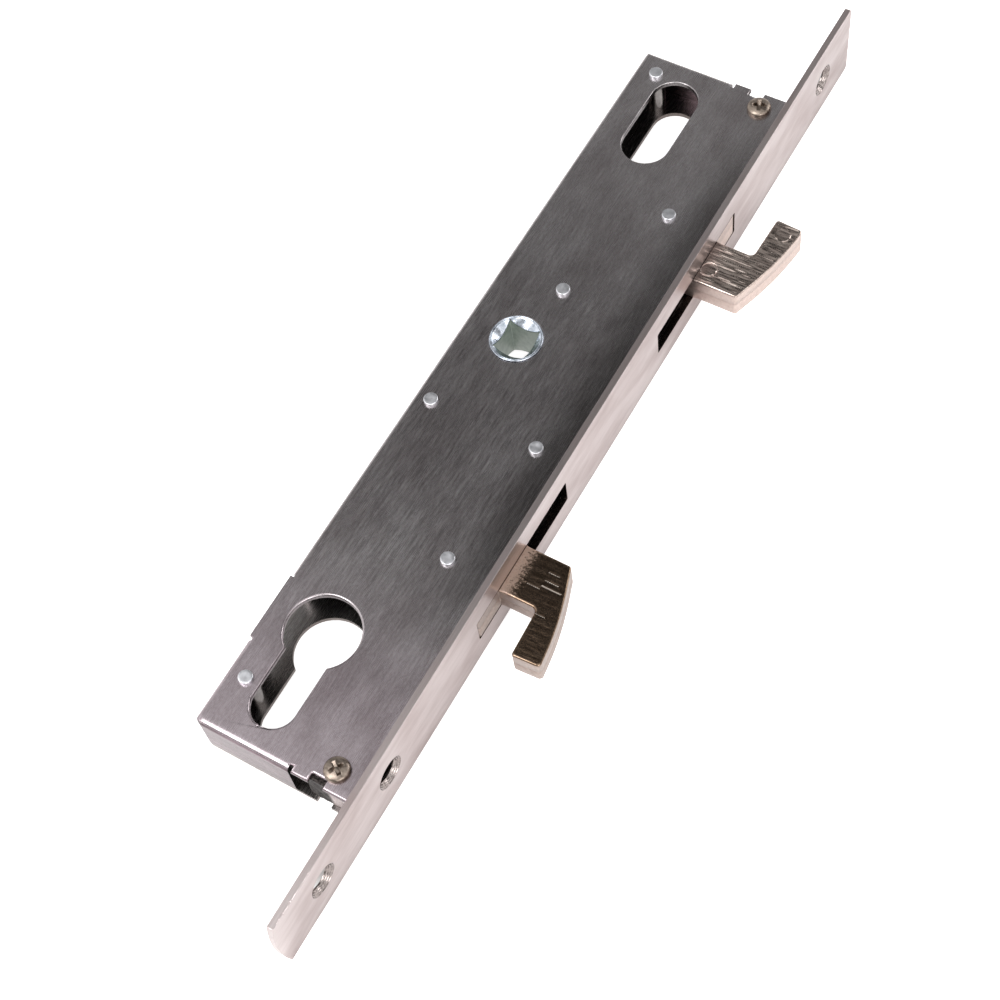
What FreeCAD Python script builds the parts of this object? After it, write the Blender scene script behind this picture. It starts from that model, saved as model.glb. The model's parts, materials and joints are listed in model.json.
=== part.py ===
"""Mortise lock for a sliding door, with two hooks that swing out through a long flat forend.

Frame: X points out through the forend and is 0 on its front face, Y runs up the door and is 0
on the spindle's axis, and Z is 0 half way through the thickness.  The folded case with the rivet
ends faces +Z.  The spindle follower turns clockwise, seen from +Z, to draw the hooks in: its
left pin lifts the upper slide, its right pin pushes the lower slide down, and a fork on each
slide turns the tail pin of its hook.
"""
import FreeCAD, Part
import math
import os

V = FreeCAD.Vector

# Case: a folded pan with a flat rear cover
SHEET = 1.2
CASE_THICKNESS = 12.9
CASE_LENGTH = 206.8
CASE_MID_Y = -12.1
BEND_RADIUS = 1.5
CORNER_SEAM = 0.25
COVER_CORNER = 0.6
END_TAB_LENGTH = 15.3
RELIEF_WIDTH = 0.9
END_NOTCH_START = 7.3
END_NOTCH_WIDTH = 3.7
END_NOTCH_DEPTH = 2.1
NOTCH_CORNER = 0.3
CAM_WINDOW_ABOVE = 8.2
CAM_WINDOW_LENGTH = 16.4
WINDOW_RELIEF_DEPTH = 0.8

# Forend
FOREND_THICKNESS = 1.6
FOREND_WIDTH = 21.5
FOREND_LENGTH = 268.3
FOREND_TOP_CORNER = 1.0
FOREND_BOTTOM_BULGE = 1.3
FIXING_INSET = 15.45
CYLINDER_SCREW_DROP = 19.1
SCREW_BORE = 5.8
COUNTERSINK = 8.2

# Cylinder cut-out, oblong cut-out and spindle
BACKSET = 28.25
SPINDLE_TO_BACK = 13.75
CYLINDER_Y = -85.0
CYLINDER_RADIUS = 8.75
CYLINDER_SLOT_WIDTH = 10.7
CYLINDER_HEIGHT = 33.5
OBLONG_WIDTH = 12.1
OBLONG_LENGTH = 27.0
OBLONG_INSET = 5.8
SPINDLE_SQUARE = 8.0

# Rivet pillars that hold the case together
PILLAR_DIAMETER = 4.8
RIVET_DIAMETER = 3.4
RIVET_FRONT_HEIGHT = 0.9
RIVET_REAR_HEIGHT = 0.5
TOP_PILLAR_INSET = (5.7, 6.1)
BOTTOM_PILLAR_INSET = (4.9, 13.4)
BACK_PILLAR_INSET = 4.5
BACK_PILLAR_Y = -23.6
UPPER_GUIDE_FROM_SPINDLE = (3.2, 16.9)
FRONT_GUIDE_AT = (-9.3, -23.9)

# Lugs inside the case ends, with the two case screws
LUG_DEPTH = 12.6
LUG_HEIGHT = 7.6
LUG_END_GAP = 0.9
CASE_SCREW_X = -8.1
CASE_SCREW_INSET = 4.95
CASE_SCREW_DIAMETER = 3.0
CASE_SCREW_LENGTH = 9.0
CASE_SCREW_HEAD = 6.0
CASE_SCREW_HEAD_HEIGHT = 1.7
CASE_SCREW_CLEARANCE = 0.15

# Hooks and their pivots
HOOK_PIVOT_X = -12.8
UPPER_PIVOT_Y = 47.3
LOWER_PIVOT_Y = -57.3
PIVOT_DIAMETER = 5.0
HOOK_THICKNESS = 7.3
SLOT_WIDTH = 7.6
SLOT_OPEN_END = 30.1
SLOT_HEEL_END = 9.75
SLOT_CORNER = 0.4
HOOK_BELLY_RADIUS = 80.0
HOOK_CORNER = 0.8
TIP_CORNER = 1.0
THROAT_CORNER = 1.3
TIP_DRAFT = 0.4
STEM_OUTER_EDGE = -12.3
STEM_INNER_EDGE = 0.25
HOOK_REACH = 29.95
HOOK_THROAT = 22.45
HOOK_BELLY = 28.45
HOOK_SHOULDER = 24.2
TIP_HEIGHT = 12.1
HEEL_RECESS = 0.1
HEEL_GAP = 0.3
HEEL_CORNER = 0.6
HEEL_BACK_CORNER = 2.0
HOOK_SWING = 90.0
TAIL_RADIUS = 7.7
TAIL_WALL = 2.1
TAIL_CORNER = 2.5
TAIL_PIN_DIAMETER = 2.8
TAIL_PIN_DEPTH = 3.0
WASHER_DIAMETER = 7.6
WASHER_GAP = 0.05

# Follower and drive slides
FOLLOWER_SWING = 70.0
FOLLOWER_ARM = 9.5
FOLLOWER_PIN_DIAMETER = 2.8
FOLLOWER_NECK_DIAMETER = 12.84
FOLLOWER_BODY_DIAMETER = 16.0
FOLLOWER_PROUD = 0.25
FOLLOWER_ARM_THICKNESS = 2.6
FOLLOWER_ARM_TIP = 2.5
SQUARE_MOUTH = 11.6
SQUARE_MOUTH_DEPTH = 1.8
SLIDE_THICKNESS = 1.2
SLIDE_GAP = 0.2
PIN_SLOT_GAP = 0.3
PIN_END_GAP = 0.3
GUIDE_GAP = 0.15
SIDE_GAP = 0.3
NECK_GAP = 0.5
SLIDE_CORNER = 1.5
FORK_CORNER = 0.3
FORK_WALL = 2.4
SLIDE_FOOT = 5.0
SLIDE_HEAD = 3.7
SLIDE_BRIDGE = 4.6
SLIDE_SHOULDER = 12.0
UPPER_RIB_WIDTH = 4.2
LOWER_RIB_WIDTH = 3.4
GUIDE_WALL = 1.9
GUIDE_END_WALL = 3.75
PLATE_PAST_PIVOT = 6.6
PLATE_BELOW_CYLINDER = 10.2
CYLINDER_GAP = 0.8
CAM_RADIUS = 15.0
CAM_NOTCH_HEIGHT = 9.5
CAM_NOTCH_CORNER = 1.0
CAM_GAP = 0.4

# Running fit of a shaft in its bore, on the radius
RUNNING_GAP = 0.06

# Worked-out planes and places
FACE_Z = CASE_THICKNESS / 2
REAR_Z = -FACE_Z
INNER_Z = FACE_Z - SHEET
FOREND_BACK = -FOREND_THICKNESS
CASE_BACK = -BACKSET - SPINDLE_TO_BACK
CASE_TOP = CASE_MID_Y + CASE_LENGTH / 2
CASE_BOTTOM = CASE_MID_Y - CASE_LENGTH / 2
SPINDLE_X = -BACKSET
HOOK_Z = HOOK_THICKNESS / 2
SLIDE_TOP = INNER_Z - SLIDE_GAP
SLIDE_BOTTOM = SLIDE_TOP - SLIDE_THICKNESS
PIN_TOP = SLIDE_TOP
SLIDE_TRAVEL = 2 * FOLLOWER_ARM * math.sin(math.radians(FOLLOWER_SWING / 2))
UPPER_SCREW_Y = CASE_TOP - CASE_SCREW_INSET
LOWER_SCREW_Y = CASE_BOTTOM + CASE_SCREW_INSET
CYLINDER_SCREW_Y = CYLINDER_Y - CYLINDER_SCREW_DROP
CAM_WINDOW_TOP = CYLINDER_Y + CAM_WINDOW_ABOVE
FORK_TIP_X = HOOK_PIVOT_X - WASHER_DIAMETER / 2 - SIDE_GAP
PILLAR_TOP_AT = (CASE_BACK + TOP_PILLAR_INSET[0], CASE_TOP - TOP_PILLAR_INSET[1])
PILLAR_BOTTOM_AT = (CASE_BACK + BOTTOM_PILLAR_INSET[0], CASE_BOTTOM + BOTTOM_PILLAR_INSET[1])
PILLAR_BACK_AT = (CASE_BACK + BACK_PILLAR_INSET, BACK_PILLAR_Y)
UPPER_GUIDE_AT = (SPINDLE_X + UPPER_GUIDE_FROM_SPINDLE[0], UPPER_GUIDE_FROM_SPINDLE[1])


def box(x0, x1, y0, y1, z0, z1):
    """Block between two corners."""
    return Part.makeBox(x1 - x0, y1 - y0, z1 - z0, V(x0, y0, z0))


def rod(x, y, radius, z0, z1):
    """Round bar along Z."""
    return Part.makeCylinder(radius, z1 - z0, V(x, y, z0), V(0, 0, 1))


def turned(x, y, profile):
    """Turned piece on an axis along Z, from (radius, z) corners of its half section."""
    corners = [V(x + r, y, z) for r, z in profile]
    face = Part.Face(Part.makePolygon(corners + corners[:1]))
    return face.revolve(V(x, y, 0), V(0, 0, 1), 360)


def rounded_wire(corners, z):
    """Closed outline through (x, y, radius) corners, each rounded by an arc tangent to both sides."""
    arcs = []
    count = len(corners)
    for i, (x, y, radius) in enumerate(corners):
        here = V(x, y, z)
        before = V(corners[i - 1][0], corners[i - 1][1], z) - here
        after = V(corners[(i + 1) % count][0], corners[(i + 1) % count][1], z) - here
        before.normalize()
        after.normalize()
        if radius <= 0:
            arcs.append((here, None, here))
            continue
        half = before.getAngle(after) / 2
        middle = before + after
        middle.normalize()
        run = radius / math.tan(half)
        nearest = here + middle * (radius / math.sin(half) - radius)
        arcs.append((here + before * run, nearest, here + after * run))
    edges = []
    for i, (start, nearest, end) in enumerate(arcs):
        if nearest is not None:
            edges.append(Part.Arc(start, nearest, end).toShape())
        follows = arcs[(i + 1) % count][0]
        if end.distanceToPoint(follows) > 1e-6:
            edges.append(Part.LineSegment(end, follows).toShape())
    return Part.Wire(edges)


def plate(corners, z0, z1):
    """Flat plate with a rounded outline between two heights."""
    return Part.Face(rounded_wire(corners, z0)).extrude(V(0, 0, z1 - z0))


def bar_slot(x0, x1, y0, y1, z0, z1, radius):
    """Cutter for a slot with rounded corners."""
    corners = [(x0, y0, radius), (x1, y0, radius), (x1, y1, radius), (x0, y1, radius)]
    return plate(corners, z0, z1)


def cylinder_cutter(z0, z1):
    """Cutter of the cylinder's profile: a round top over a narrower slot with a round end."""
    half = CYLINDER_SLOT_WIDTH / 2
    bottom = CYLINDER_Y + CYLINDER_RADIUS - CYLINDER_HEIGHT
    slot = bar_slot(SPINDLE_X - half, SPINDLE_X + half, bottom, CYLINDER_Y, z0, z1, half)
    upper = box(SPINDLE_X - half, SPINDLE_X + half, CYLINDER_Y - half, CYLINDER_Y, z0, z1)
    return rod(SPINDLE_X, CYLINDER_Y, CYLINDER_RADIUS, z0, z1).fuse([slot, upper]).removeSplitter()


def oblong_cutter(z0, z1):
    """Cutter of the upper cut-out, with full round ends."""
    half = OBLONG_WIDTH / 2
    high = CASE_TOP - OBLONG_INSET
    low = high - OBLONG_LENGTH
    return bar_slot(SPINDLE_X - half, SPINDLE_X + half, low, high, z0, z1, half)


def rivet_places():
    """Where the pillars and the hook pivots pass through both sheets."""
    upper_pivot = (HOOK_PIVOT_X, UPPER_PIVOT_Y)
    lower_pivot = (HOOK_PIVOT_X, LOWER_PIVOT_Y)
    pillars = [PILLAR_TOP_AT, UPPER_GUIDE_AT, PILLAR_BACK_AT, FRONT_GUIDE_AT, PILLAR_BOTTOM_AT]
    return pillars + [upper_pivot, lower_pivot]


def sheet_cutters(z0, z1):
    """All holes that the case face and the rear cover share."""
    cutters = [cylinder_cutter(z0, z1), oblong_cutter(z0, z1)]
    cutters.append(rod(SPINDLE_X, 0, FOLLOWER_NECK_DIAMETER / 2 + RUNNING_GAP, z0, z1))
    for x, y in rivet_places():
        cutters.append(rod(x, y, RIVET_DIAMETER / 2, z0, z1))
    return cutters


def folded_block():
    """Block with the case's outline, rounded along its back and end edges where the sheet is bent."""
    block = box(CASE_BACK, FOREND_BACK, CASE_BOTTOM, CASE_TOP, -INNER_Z, FACE_Z)
    bent = []
    for edge in block.Edges:
        ends = edge.Vertexes
        on_top = all(abs(v.Z - FACE_Z) < 1e-6 for v in ends)
        on_front = all(abs(v.X - FOREND_BACK) < 1e-6 for v in ends)
        if on_top and not on_front:
            bent.append(edge)
    return block.makeFillet(BEND_RADIUS, bent)


def end_notches(z0, z1):
    """Cutters of the notch in both ends of a sheet, behind the forend."""
    front = FOREND_BACK - END_NOTCH_START
    back = front - END_NOTCH_WIDTH
    past = SHEET * 4
    top = bar_slot(back, front, CASE_TOP - END_NOTCH_DEPTH, CASE_TOP + past, z0, z1, NOTCH_CORNER)
    bottom = bar_slot(back, front, CASE_BOTTOM - past, CASE_BOTTOM + END_NOTCH_DEPTH, z0, z1, NOTCH_CORNER)
    return [top, bottom]


def case_pan():
    """Face with its folded back and end walls; flat tabs stand where the walls are cut away."""
    past = SHEET * 4
    inner = box(CASE_BACK + SHEET, FOREND_BACK + past, CASE_BOTTOM + SHEET, CASE_TOP - SHEET,
                -INNER_Z - past, INNER_Z)
    pan = folded_block().cut(inner)
    tab_start = FOREND_BACK - END_TAB_LENGTH
    seam = CASE_BACK + SHEET
    cuts = []
    tabs = []
    for wall, inward in ((CASE_TOP, -1), (CASE_BOTTOM, 1)):
        inner_wall = wall + inward * BEND_RADIUS
        low, high = sorted((wall - inward * SHEET, inner_wall))
        cuts.append(box(tab_start - RELIEF_WIDTH, FOREND_BACK + past, low, high, -INNER_Z - past, INNER_Z))
        cuts.append(box(tab_start - RELIEF_WIDTH, tab_start, low, high, INNER_Z - SHEET, FACE_Z + past))
        cuts.append(box(seam, seam + CORNER_SEAM, low, high, -INNER_Z - past, FACE_Z - BEND_RADIUS))
        low, high = sorted((wall, wall + inward * BEND_RADIUS * 2))
        tabs.append(box(tab_start, FOREND_BACK, low, high, INNER_Z, FACE_Z))
    window_bottom = CAM_WINDOW_TOP - CAM_WINDOW_LENGTH
    window_edge = CASE_BACK + BEND_RADIUS
    low = window_bottom - RELIEF_WIDTH
    high = CAM_WINDOW_TOP + RELIEF_WIDTH
    cuts.append(box(CASE_BACK - past, window_edge, low, high, -INNER_Z - past, INNER_Z))
    relief_edge = CASE_BACK + WINDOW_RELIEF_DEPTH
    cuts.append(box(CASE_BACK - past, relief_edge, low, window_bottom, INNER_Z - SHEET, FACE_Z + past))
    cuts.append(box(CASE_BACK - past, relief_edge, CAM_WINDOW_TOP, high, INNER_Z - SHEET, FACE_Z + past))
    tabs.append(box(CASE_BACK, CASE_BACK + BEND_RADIUS * 2, window_bottom, CAM_WINDOW_TOP, INNER_Z, FACE_Z))
    pan = pan.cut(cuts).fuse(tabs)
    holes = sheet_cutters(INNER_Z - SHEET, FACE_Z + SHEET) + end_notches(INNER_Z - SHEET, FACE_Z + SHEET)
    for y in (UPPER_SCREW_Y, LOWER_SCREW_Y):
        radius = CASE_SCREW_DIAMETER / 2 + CASE_SCREW_CLEARANCE
        holes.append(rod(CASE_SCREW_X, y, radius, INNER_Z - SHEET, FACE_Z + SHEET))
    return pan.cut(holes).removeSplitter()


def rear_cover():
    """Flat sheet that closes the back of the pan and carries the other ends of the pillars."""
    corners = [(FOREND_BACK, CASE_BOTTOM, 0), (FOREND_BACK, CASE_TOP, 0),
               (CASE_BACK, CASE_TOP, COVER_CORNER), (CASE_BACK, CASE_BOTTOM, COVER_CORNER)]
    sheet = plate(corners, REAR_Z, -INNER_Z)
    low = REAR_Z - SHEET
    high = -INNER_Z + SHEET
    return sheet.cut(sheet_cutters(low, high) + end_notches(low, high)).removeSplitter()


def countersunk_hole(y):
    """Cutter along X for a countersunk screw hole in the forend."""
    bore = SCREW_BORE / 2
    sink = COUNTERSINK / 2
    through = Part.makeCylinder(bore, FOREND_THICKNESS * 3, V(FOREND_BACK * 2, y, 0), V(1, 0, 0))
    cone = Part.makeCone(bore, sink, sink - bore, V(bore - sink, y, 0), V(1, 0, 0))
    return through.fuse(cone)


def facing_out(shape):
    """Turns a shape drawn flat as (y, z) with its depth along Z, so that its depth runs along X."""
    shape.rotate(V(0, 0, 0), V(1, 1, 1), 120)
    return shape


def hook_slot(pivot_y, side):
    """Cutter along X for a hook's slot; side is +1 for the upper hook and -1 for the lower."""
    low, high = sorted((pivot_y - side * SLOT_OPEN_END, pivot_y + side * SLOT_HEEL_END))
    half = SLOT_WIDTH / 2
    corners = [(low, -half, SLOT_CORNER), (high, -half, SLOT_CORNER), (high, half, SLOT_CORNER),
               (low, half, SLOT_CORNER)]
    return facing_out(plate(corners, FOREND_BACK * 2, FOREND_THICKNESS))


def forend():
    """Long flat forend with two hook slots and three countersunk holes; its lower end is bowed."""
    half = FOREND_WIDTH / 2
    top = CASE_MID_Y + FOREND_LENGTH / 2
    bottom = CASE_MID_Y - FOREND_LENGTH / 2
    strip = box(FOREND_BACK, 0, bottom, top, -half, half)
    corner_edges = []
    for edge in strip.Edges:
        ends = edge.Vertexes
        if all(abs(v.Y - top) < 1e-6 for v in ends) and abs(ends[0].X - ends[1].X) > 0.1:
            corner_edges.append(edge)
    strip = strip.makeFillet(FOREND_TOP_CORNER, corner_edges)
    lower_left = V(FOREND_BACK, bottom, -half)
    lower_right = V(FOREND_BACK, bottom, half)
    lowest = V(FOREND_BACK, bottom - FOREND_BOTTOM_BULGE, 0)
    bow = Part.Arc(lower_left, lowest, lower_right).toShape()
    chord = Part.LineSegment(lower_right, lower_left).toShape()
    end = Part.Face(Part.Wire([bow, chord])).extrude(V(FOREND_THICKNESS, 0, 0))
    cutters = [hook_slot(UPPER_PIVOT_Y, 1), hook_slot(LOWER_PIVOT_Y, -1)]
    for y in (top - FIXING_INSET, bottom + FIXING_INSET, CYLINDER_SCREW_Y):
        cutters.append(countersunk_hole(y))
    return strip.fuse(end).cut(cutters).removeSplitter()


def forend_lug(end_y, inward, screw_y):
    """Block behind the forend, inside one end of the case, threaded for the case screw."""
    near = end_y + inward * LUG_END_GAP
    far = near + inward * LUG_HEIGHT
    low, high = sorted((near, far))
    block = box(FOREND_BACK - LUG_DEPTH, FOREND_BACK, low, high, -INNER_Z, INNER_Z)
    return block.cut(rod(CASE_SCREW_X, screw_y, CASE_SCREW_DIAMETER / 2, -INNER_Z - SHEET, INNER_Z + SHEET))


def case_screw(y):
    """Pan-head screw through the face into a lug."""
    radius = CASE_SCREW_DIAMETER / 2
    head = CASE_SCREW_HEAD / 2
    top = FACE_Z + CASE_SCREW_HEAD_HEIGHT
    profile = [(0, FACE_Z - CASE_SCREW_LENGTH), (radius, FACE_Z - CASE_SCREW_LENGTH), (radius, FACE_Z),
               (head, FACE_Z), (head, FACE_Z + CASE_SCREW_HEAD_HEIGHT / 2), (radius, top), (0, top)]
    return turned(CASE_SCREW_X, y, profile)


def pillar(x, y, diameter):
    """Shouldered pillar whose ends pass through both sheets and stand proud as rivet ends."""
    body = diameter / 2
    end = RIVET_DIAMETER / 2
    front = FACE_Z + RIVET_FRONT_HEIGHT
    rear = REAR_Z - RIVET_REAR_HEIGHT
    profile = [(0, rear), (end, rear), (end, -INNER_Z), (body, -INNER_Z), (body, INNER_Z),
               (end, INNER_Z), (end, front), (0, front)]
    return turned(x, y, profile)


def mirrored(shape):
    """The lower hook's shapes are the upper's, mirrored in Y about the pivot."""
    return shape.mirror(V(0, 0, 0), V(0, 1, 0))


def tail_pin_place():
    """Tail pin's centre from the hook's pivot, at rest, half the swing below the -X direction."""
    angle = math.radians(180 + HOOK_SWING / 2)
    return TAIL_RADIUS * math.cos(angle), TAIL_RADIUS * math.sin(angle)


def hook():
    """Hook about its pivot, tip towards +Y: stem, throat, belly, heel and tail."""
    heel_front = -HOOK_PIVOT_X - HEEL_RECESS
    heel_top = SLOT_HEEL_END - HEEL_GAP
    tail_x, tail_y = tail_pin_place()
    tail_wall = TAIL_PIN_DIAMETER / 2 + TAIL_WALL
    corners = [
        (HOOK_SHOULDER, STEM_OUTER_EDGE, HOOK_CORNER),
        (HOOK_BELLY, STEM_INNER_EDGE, HOOK_BELLY_RADIUS),
        (HOOK_REACH, TIP_HEIGHT, TIP_CORNER),
        (HOOK_THROAT + TIP_DRAFT, TIP_HEIGHT + TIP_DRAFT, HOOK_CORNER),
        (HOOK_THROAT, STEM_INNER_EDGE, THROAT_CORNER),
        (heel_front, STEM_INNER_EDGE, 0),
        (heel_front, heel_top, HEEL_CORNER),
        (PIVOT_DIAMETER / 2, heel_top, HEEL_BACK_CORNER),
        (tail_x, -tail_y / 2, TAIL_CORNER),
        (tail_x - tail_wall, tail_y, TAIL_CORNER),
        (tail_x, tail_y - tail_wall, TAIL_CORNER),
        (PIVOT_DIAMETER / 2, STEM_OUTER_EDGE, TAIL_CORNER),
    ]
    body = plate(corners, -HOOK_Z, HOOK_Z)
    bore = rod(0, 0, PIVOT_DIAMETER / 2 + RUNNING_GAP, -HOOK_Z * 2, HOOK_Z * 2)
    socket = rod(tail_x, tail_y, TAIL_PIN_DIAMETER / 2, HOOK_Z - TAIL_PIN_DEPTH, HOOK_Z * 2)
    return body.cut([bore, socket])


def tail_pin():
    """Pin pressed into the hook's tail, reaching up into the slide's fork."""
    x, y = tail_pin_place()
    return rod(x, y, TAIL_PIN_DIAMETER / 2, HOOK_Z - TAIL_PIN_DEPTH, PIN_TOP)


def washers():
    """Two thrust washers that keep the hook in the middle of the case."""
    outer = WASHER_DIAMETER / 2
    inner = PIVOT_DIAMETER / 2 + RUNNING_GAP
    low = HOOK_Z + WASHER_GAP
    high = INNER_Z - WASHER_GAP
    upper = rod(0, 0, outer, low, high).cut(rod(0, 0, inner, low, high))
    lower = rod(0, 0, outer, -high, -low).cut(rod(0, 0, inner, -high, -low))
    return Part.makeCompound([upper, lower])


def follower_pin_places():
    """Both follower pins at rest: the left one low and the right one high."""
    half = math.radians(FOLLOWER_SWING / 2)
    across = FOLLOWER_ARM * math.cos(half)
    along = FOLLOWER_ARM * math.sin(half)
    return [(SPINDLE_X - across, -along), (SPINDLE_X + across, along)]


def spindle_follower():
    """Hub with a square hole, a neck through each sheet and two arms."""
    body = FOLLOWER_BODY_DIAMETER / 2
    neck = FOLLOWER_NECK_DIAMETER / 2
    arm_top = SLIDE_BOTTOM - SLIDE_GAP
    low = -INNER_Z + SLIDE_GAP
    end = FACE_Z + FOLLOWER_PROUD
    profile = [(0, -end), (neck, -end), (neck, low), (body, low), (body, arm_top), (neck, arm_top),
               (neck, end), (0, end)]
    hub = turned(SPINDLE_X, 0, profile)
    arm_length = FOLLOWER_ARM + FOLLOWER_ARM_TIP
    arm_low = arm_top - FOLLOWER_ARM_THICKNESS
    arm = bar_slot(-arm_length, arm_length, -FOLLOWER_ARM_TIP, FOLLOWER_ARM_TIP, arm_low, arm_top,
                   FOLLOWER_ARM_TIP)
    arm.rotate(V(0, 0, 0), V(0, 0, 1), FOLLOWER_SWING / 2)
    arm.translate(V(SPINDLE_X, 0, 0))
    half = SPINDLE_SQUARE / 2
    cutters = [box(SPINDLE_X - half, SPINDLE_X + half, -half, half, -end * 2, end * 2)]
    for side in (-1, 1):
        face = V(SPINDLE_X, 0, side * end)
        cutters.append(Part.makeCone(SQUARE_MOUTH / 2, half, SQUARE_MOUTH_DEPTH, face, V(0, 0, -side)))
    for x, y in follower_pin_places():
        cutters.append(rod(x, y, FOLLOWER_PIN_DIAMETER / 2, arm_low, arm_top + SHEET))
    return hub.fuse(arm).cut(cutters).removeSplitter()


def follower_pins():
    """Two pins pressed through the follower's arms, reaching up into the slides' forks."""
    low = SLIDE_BOTTOM - SLIDE_GAP - FOLLOWER_ARM_THICKNESS
    pins = [rod(x, y, FOLLOWER_PIN_DIAMETER / 2, low, PIN_TOP) for x, y in follower_pin_places()]
    return Part.makeCompound(pins)


def fork(x0, x1, y, pin_diameter):
    """Cutter of a fork's mouth across a slide, as high as its pin and the gaps."""
    half = pin_diameter / 2 + PIN_SLOT_GAP
    return bar_slot(x0, x1, y - half, y + half, SLIDE_BOTTOM - SHEET, SLIDE_TOP + SHEET, FORK_CORNER)


def tail_reach():
    """X of a tail fork's inner end, past the tail pin at rest."""
    return HOOK_PIVOT_X - TAIL_RADIUS - TAIL_PIN_DIAMETER / 2 - PIN_END_GAP


def upper_drive_slide():
    """Slide behind the follower that lifts the upper hook's tail pin."""
    past = SHEET * 4
    left = CASE_BACK + SHEET + SIDE_GAP
    neck_side = SPINDLE_X - FOLLOWER_NECK_DIAMETER / 2 - NECK_GAP
    pin_y = follower_pin_places()[0][1]
    other_pin_y = follower_pin_places()[1][1]
    pin_reach = SPINDLE_X - FOLLOWER_ARM - FOLLOWER_PIN_DIAMETER / 2 - PIN_END_GAP
    guide_x, guide_y = UPPER_GUIDE_AT
    guide = PILLAR_DIAMETER / 2 + GUIDE_GAP
    guide_side = guide_x + guide + GUIDE_WALL
    bridge = guide_y + guide + SLIDE_BRIDGE
    tail_y = UPPER_PIVOT_Y + tail_pin_place()[1]
    shoulder = tail_y - SLIDE_SHOULDER
    rib = tail_reach() - UPPER_RIB_WIDTH
    top = tail_y + TAIL_PIN_DIAMETER / 2 + PIN_SLOT_GAP + FORK_WALL
    leg = other_pin_y + SLIDE_HEAD + SIDE_GAP * 2
    corners = [
        (left, pin_y - SLIDE_FOOT, SLIDE_CORNER),
        (neck_side, pin_y - SLIDE_FOOT, SLIDE_CORNER),
        (neck_side, leg, SLIDE_CORNER),
        (guide_side, leg, 0),
        (guide_side, bridge, SLIDE_CORNER),
        (FORK_TIP_X, shoulder, SLIDE_CORNER),
        (FORK_TIP_X, top, 0),
        (rib, top, SLIDE_CORNER),
        (rib, shoulder, SLIDE_CORNER),
        (neck_side, bridge, SLIDE_CORNER),
        (left, bridge, SLIDE_CORNER),
    ]
    slide = plate(corners, SLIDE_BOTTOM, SLIDE_TOP)
    guide_slot = bar_slot(guide_x - guide, guide_x + guide, leg - past, guide_y + guide,
                          SLIDE_BOTTOM - SHEET, SLIDE_TOP + SHEET, guide)
    follower_fork = fork(pin_reach, neck_side + past, pin_y, FOLLOWER_PIN_DIAMETER)
    tail_fork = fork(tail_reach(), FORK_TIP_X + past, tail_y, TAIL_PIN_DIAMETER)
    return slide.cut([guide_slot, follower_fork, tail_fork]).removeSplitter()


def lower_drive_slide():
    """Slide in front of the follower that pushes the lower hook's tail pin down; the key's cam
    works in the notch of its lower end."""
    past = SHEET * 4
    pin_y = follower_pin_places()[1][1]
    neck_side = SPINDLE_X + FOLLOWER_NECK_DIAMETER / 2 + NECK_GAP
    pin_reach = SPINDLE_X + FOLLOWER_ARM + FOLLOWER_PIN_DIAMETER / 2 + PIN_END_GAP
    tail_y = LOWER_PIVOT_Y - tail_pin_place()[1]
    shoulder = tail_y + SLIDE_SHOULDER
    rib = tail_reach() - LOWER_RIB_WIDTH
    guide_x, guide_y = FRONT_GUIDE_AT
    guide = PILLAR_DIAMETER / 2 + GUIDE_GAP
    guide_side = guide_x + guide + GUIDE_WALL
    guide_low = guide_y - guide - GUIDE_END_WALL
    guide_high = guide_y + SLIDE_TRAVEL + guide + FORK_WALL
    washer_low = LOWER_PIVOT_Y - WASHER_DIAMETER / 2 - SIDE_GAP
    cylinder_top = CYLINDER_Y + CYLINDER_RADIUS + SLIDE_TRAVEL + SIDE_GAP
    plate_left = SPINDLE_X + CYLINDER_RADIUS + CYLINDER_GAP
    plate_right = HOOK_PIVOT_X + PLATE_PAST_PIVOT
    bottom = CYLINDER_Y - PLATE_BELOW_CYLINDER
    corners = [
        (neck_side, pin_y + SLIDE_HEAD, 0),
        (neck_side, shoulder, SLIDE_CORNER),
        (rib, shoulder - SLIDE_FOOT, SLIDE_CORNER),
        (rib, cylinder_top + SLIDE_CORNER, SLIDE_CORNER),
        (plate_left, cylinder_top, SLIDE_CORNER),
        (plate_left, bottom, 0),
        (plate_right, bottom, SLIDE_CORNER),
        (plate_right, washer_low, SLIDE_CORNER),
        (FORK_TIP_X, washer_low, 0),
        (FORK_TIP_X, guide_low, SLIDE_CORNER),
        (guide_side, guide_low, SLIDE_CORNER),
        (guide_side, guide_high, SLIDE_CORNER),
        (pin_reach + FORK_WALL, guide_high, SLIDE_CORNER),
        (pin_reach + FORK_WALL, pin_y + SLIDE_HEAD, SLIDE_CORNER),
    ]
    slide = plate(corners, SLIDE_BOTTOM, SLIDE_TOP)
    guide_slot = bar_slot(guide_x - guide, guide_x + guide, guide_y - guide, guide_y + SLIDE_TRAVEL + guide,
                          SLIDE_BOTTOM - SHEET, SLIDE_TOP + SHEET, guide)
    follower_fork = fork(neck_side - past, pin_reach, pin_y, FOLLOWER_PIN_DIAMETER)
    tail_fork = fork(tail_reach(), FORK_TIP_X + past, tail_y, TAIL_PIN_DIAMETER)
    notch_low = CYLINDER_Y + SLIDE_TRAVEL / 2 - CAM_NOTCH_HEIGHT / 2
    notch_high = notch_low + CAM_NOTCH_HEIGHT
    notch_end = SPINDLE_X + CAM_RADIUS + CAM_GAP
    notch = bar_slot(plate_left - past, notch_end, notch_low, notch_high, SLIDE_BOTTOM - SHEET,
                     SLIDE_TOP + SHEET, CAM_NOTCH_CORNER)
    return slide.cut([guide_slot, follower_fork, tail_fork, notch]).removeSplitter()


def placed(shape, x, y):
    """Copy of a shape moved in the plane."""
    moved = shape.copy()
    moved.translate(V(x, y, 0))
    return moved


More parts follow.
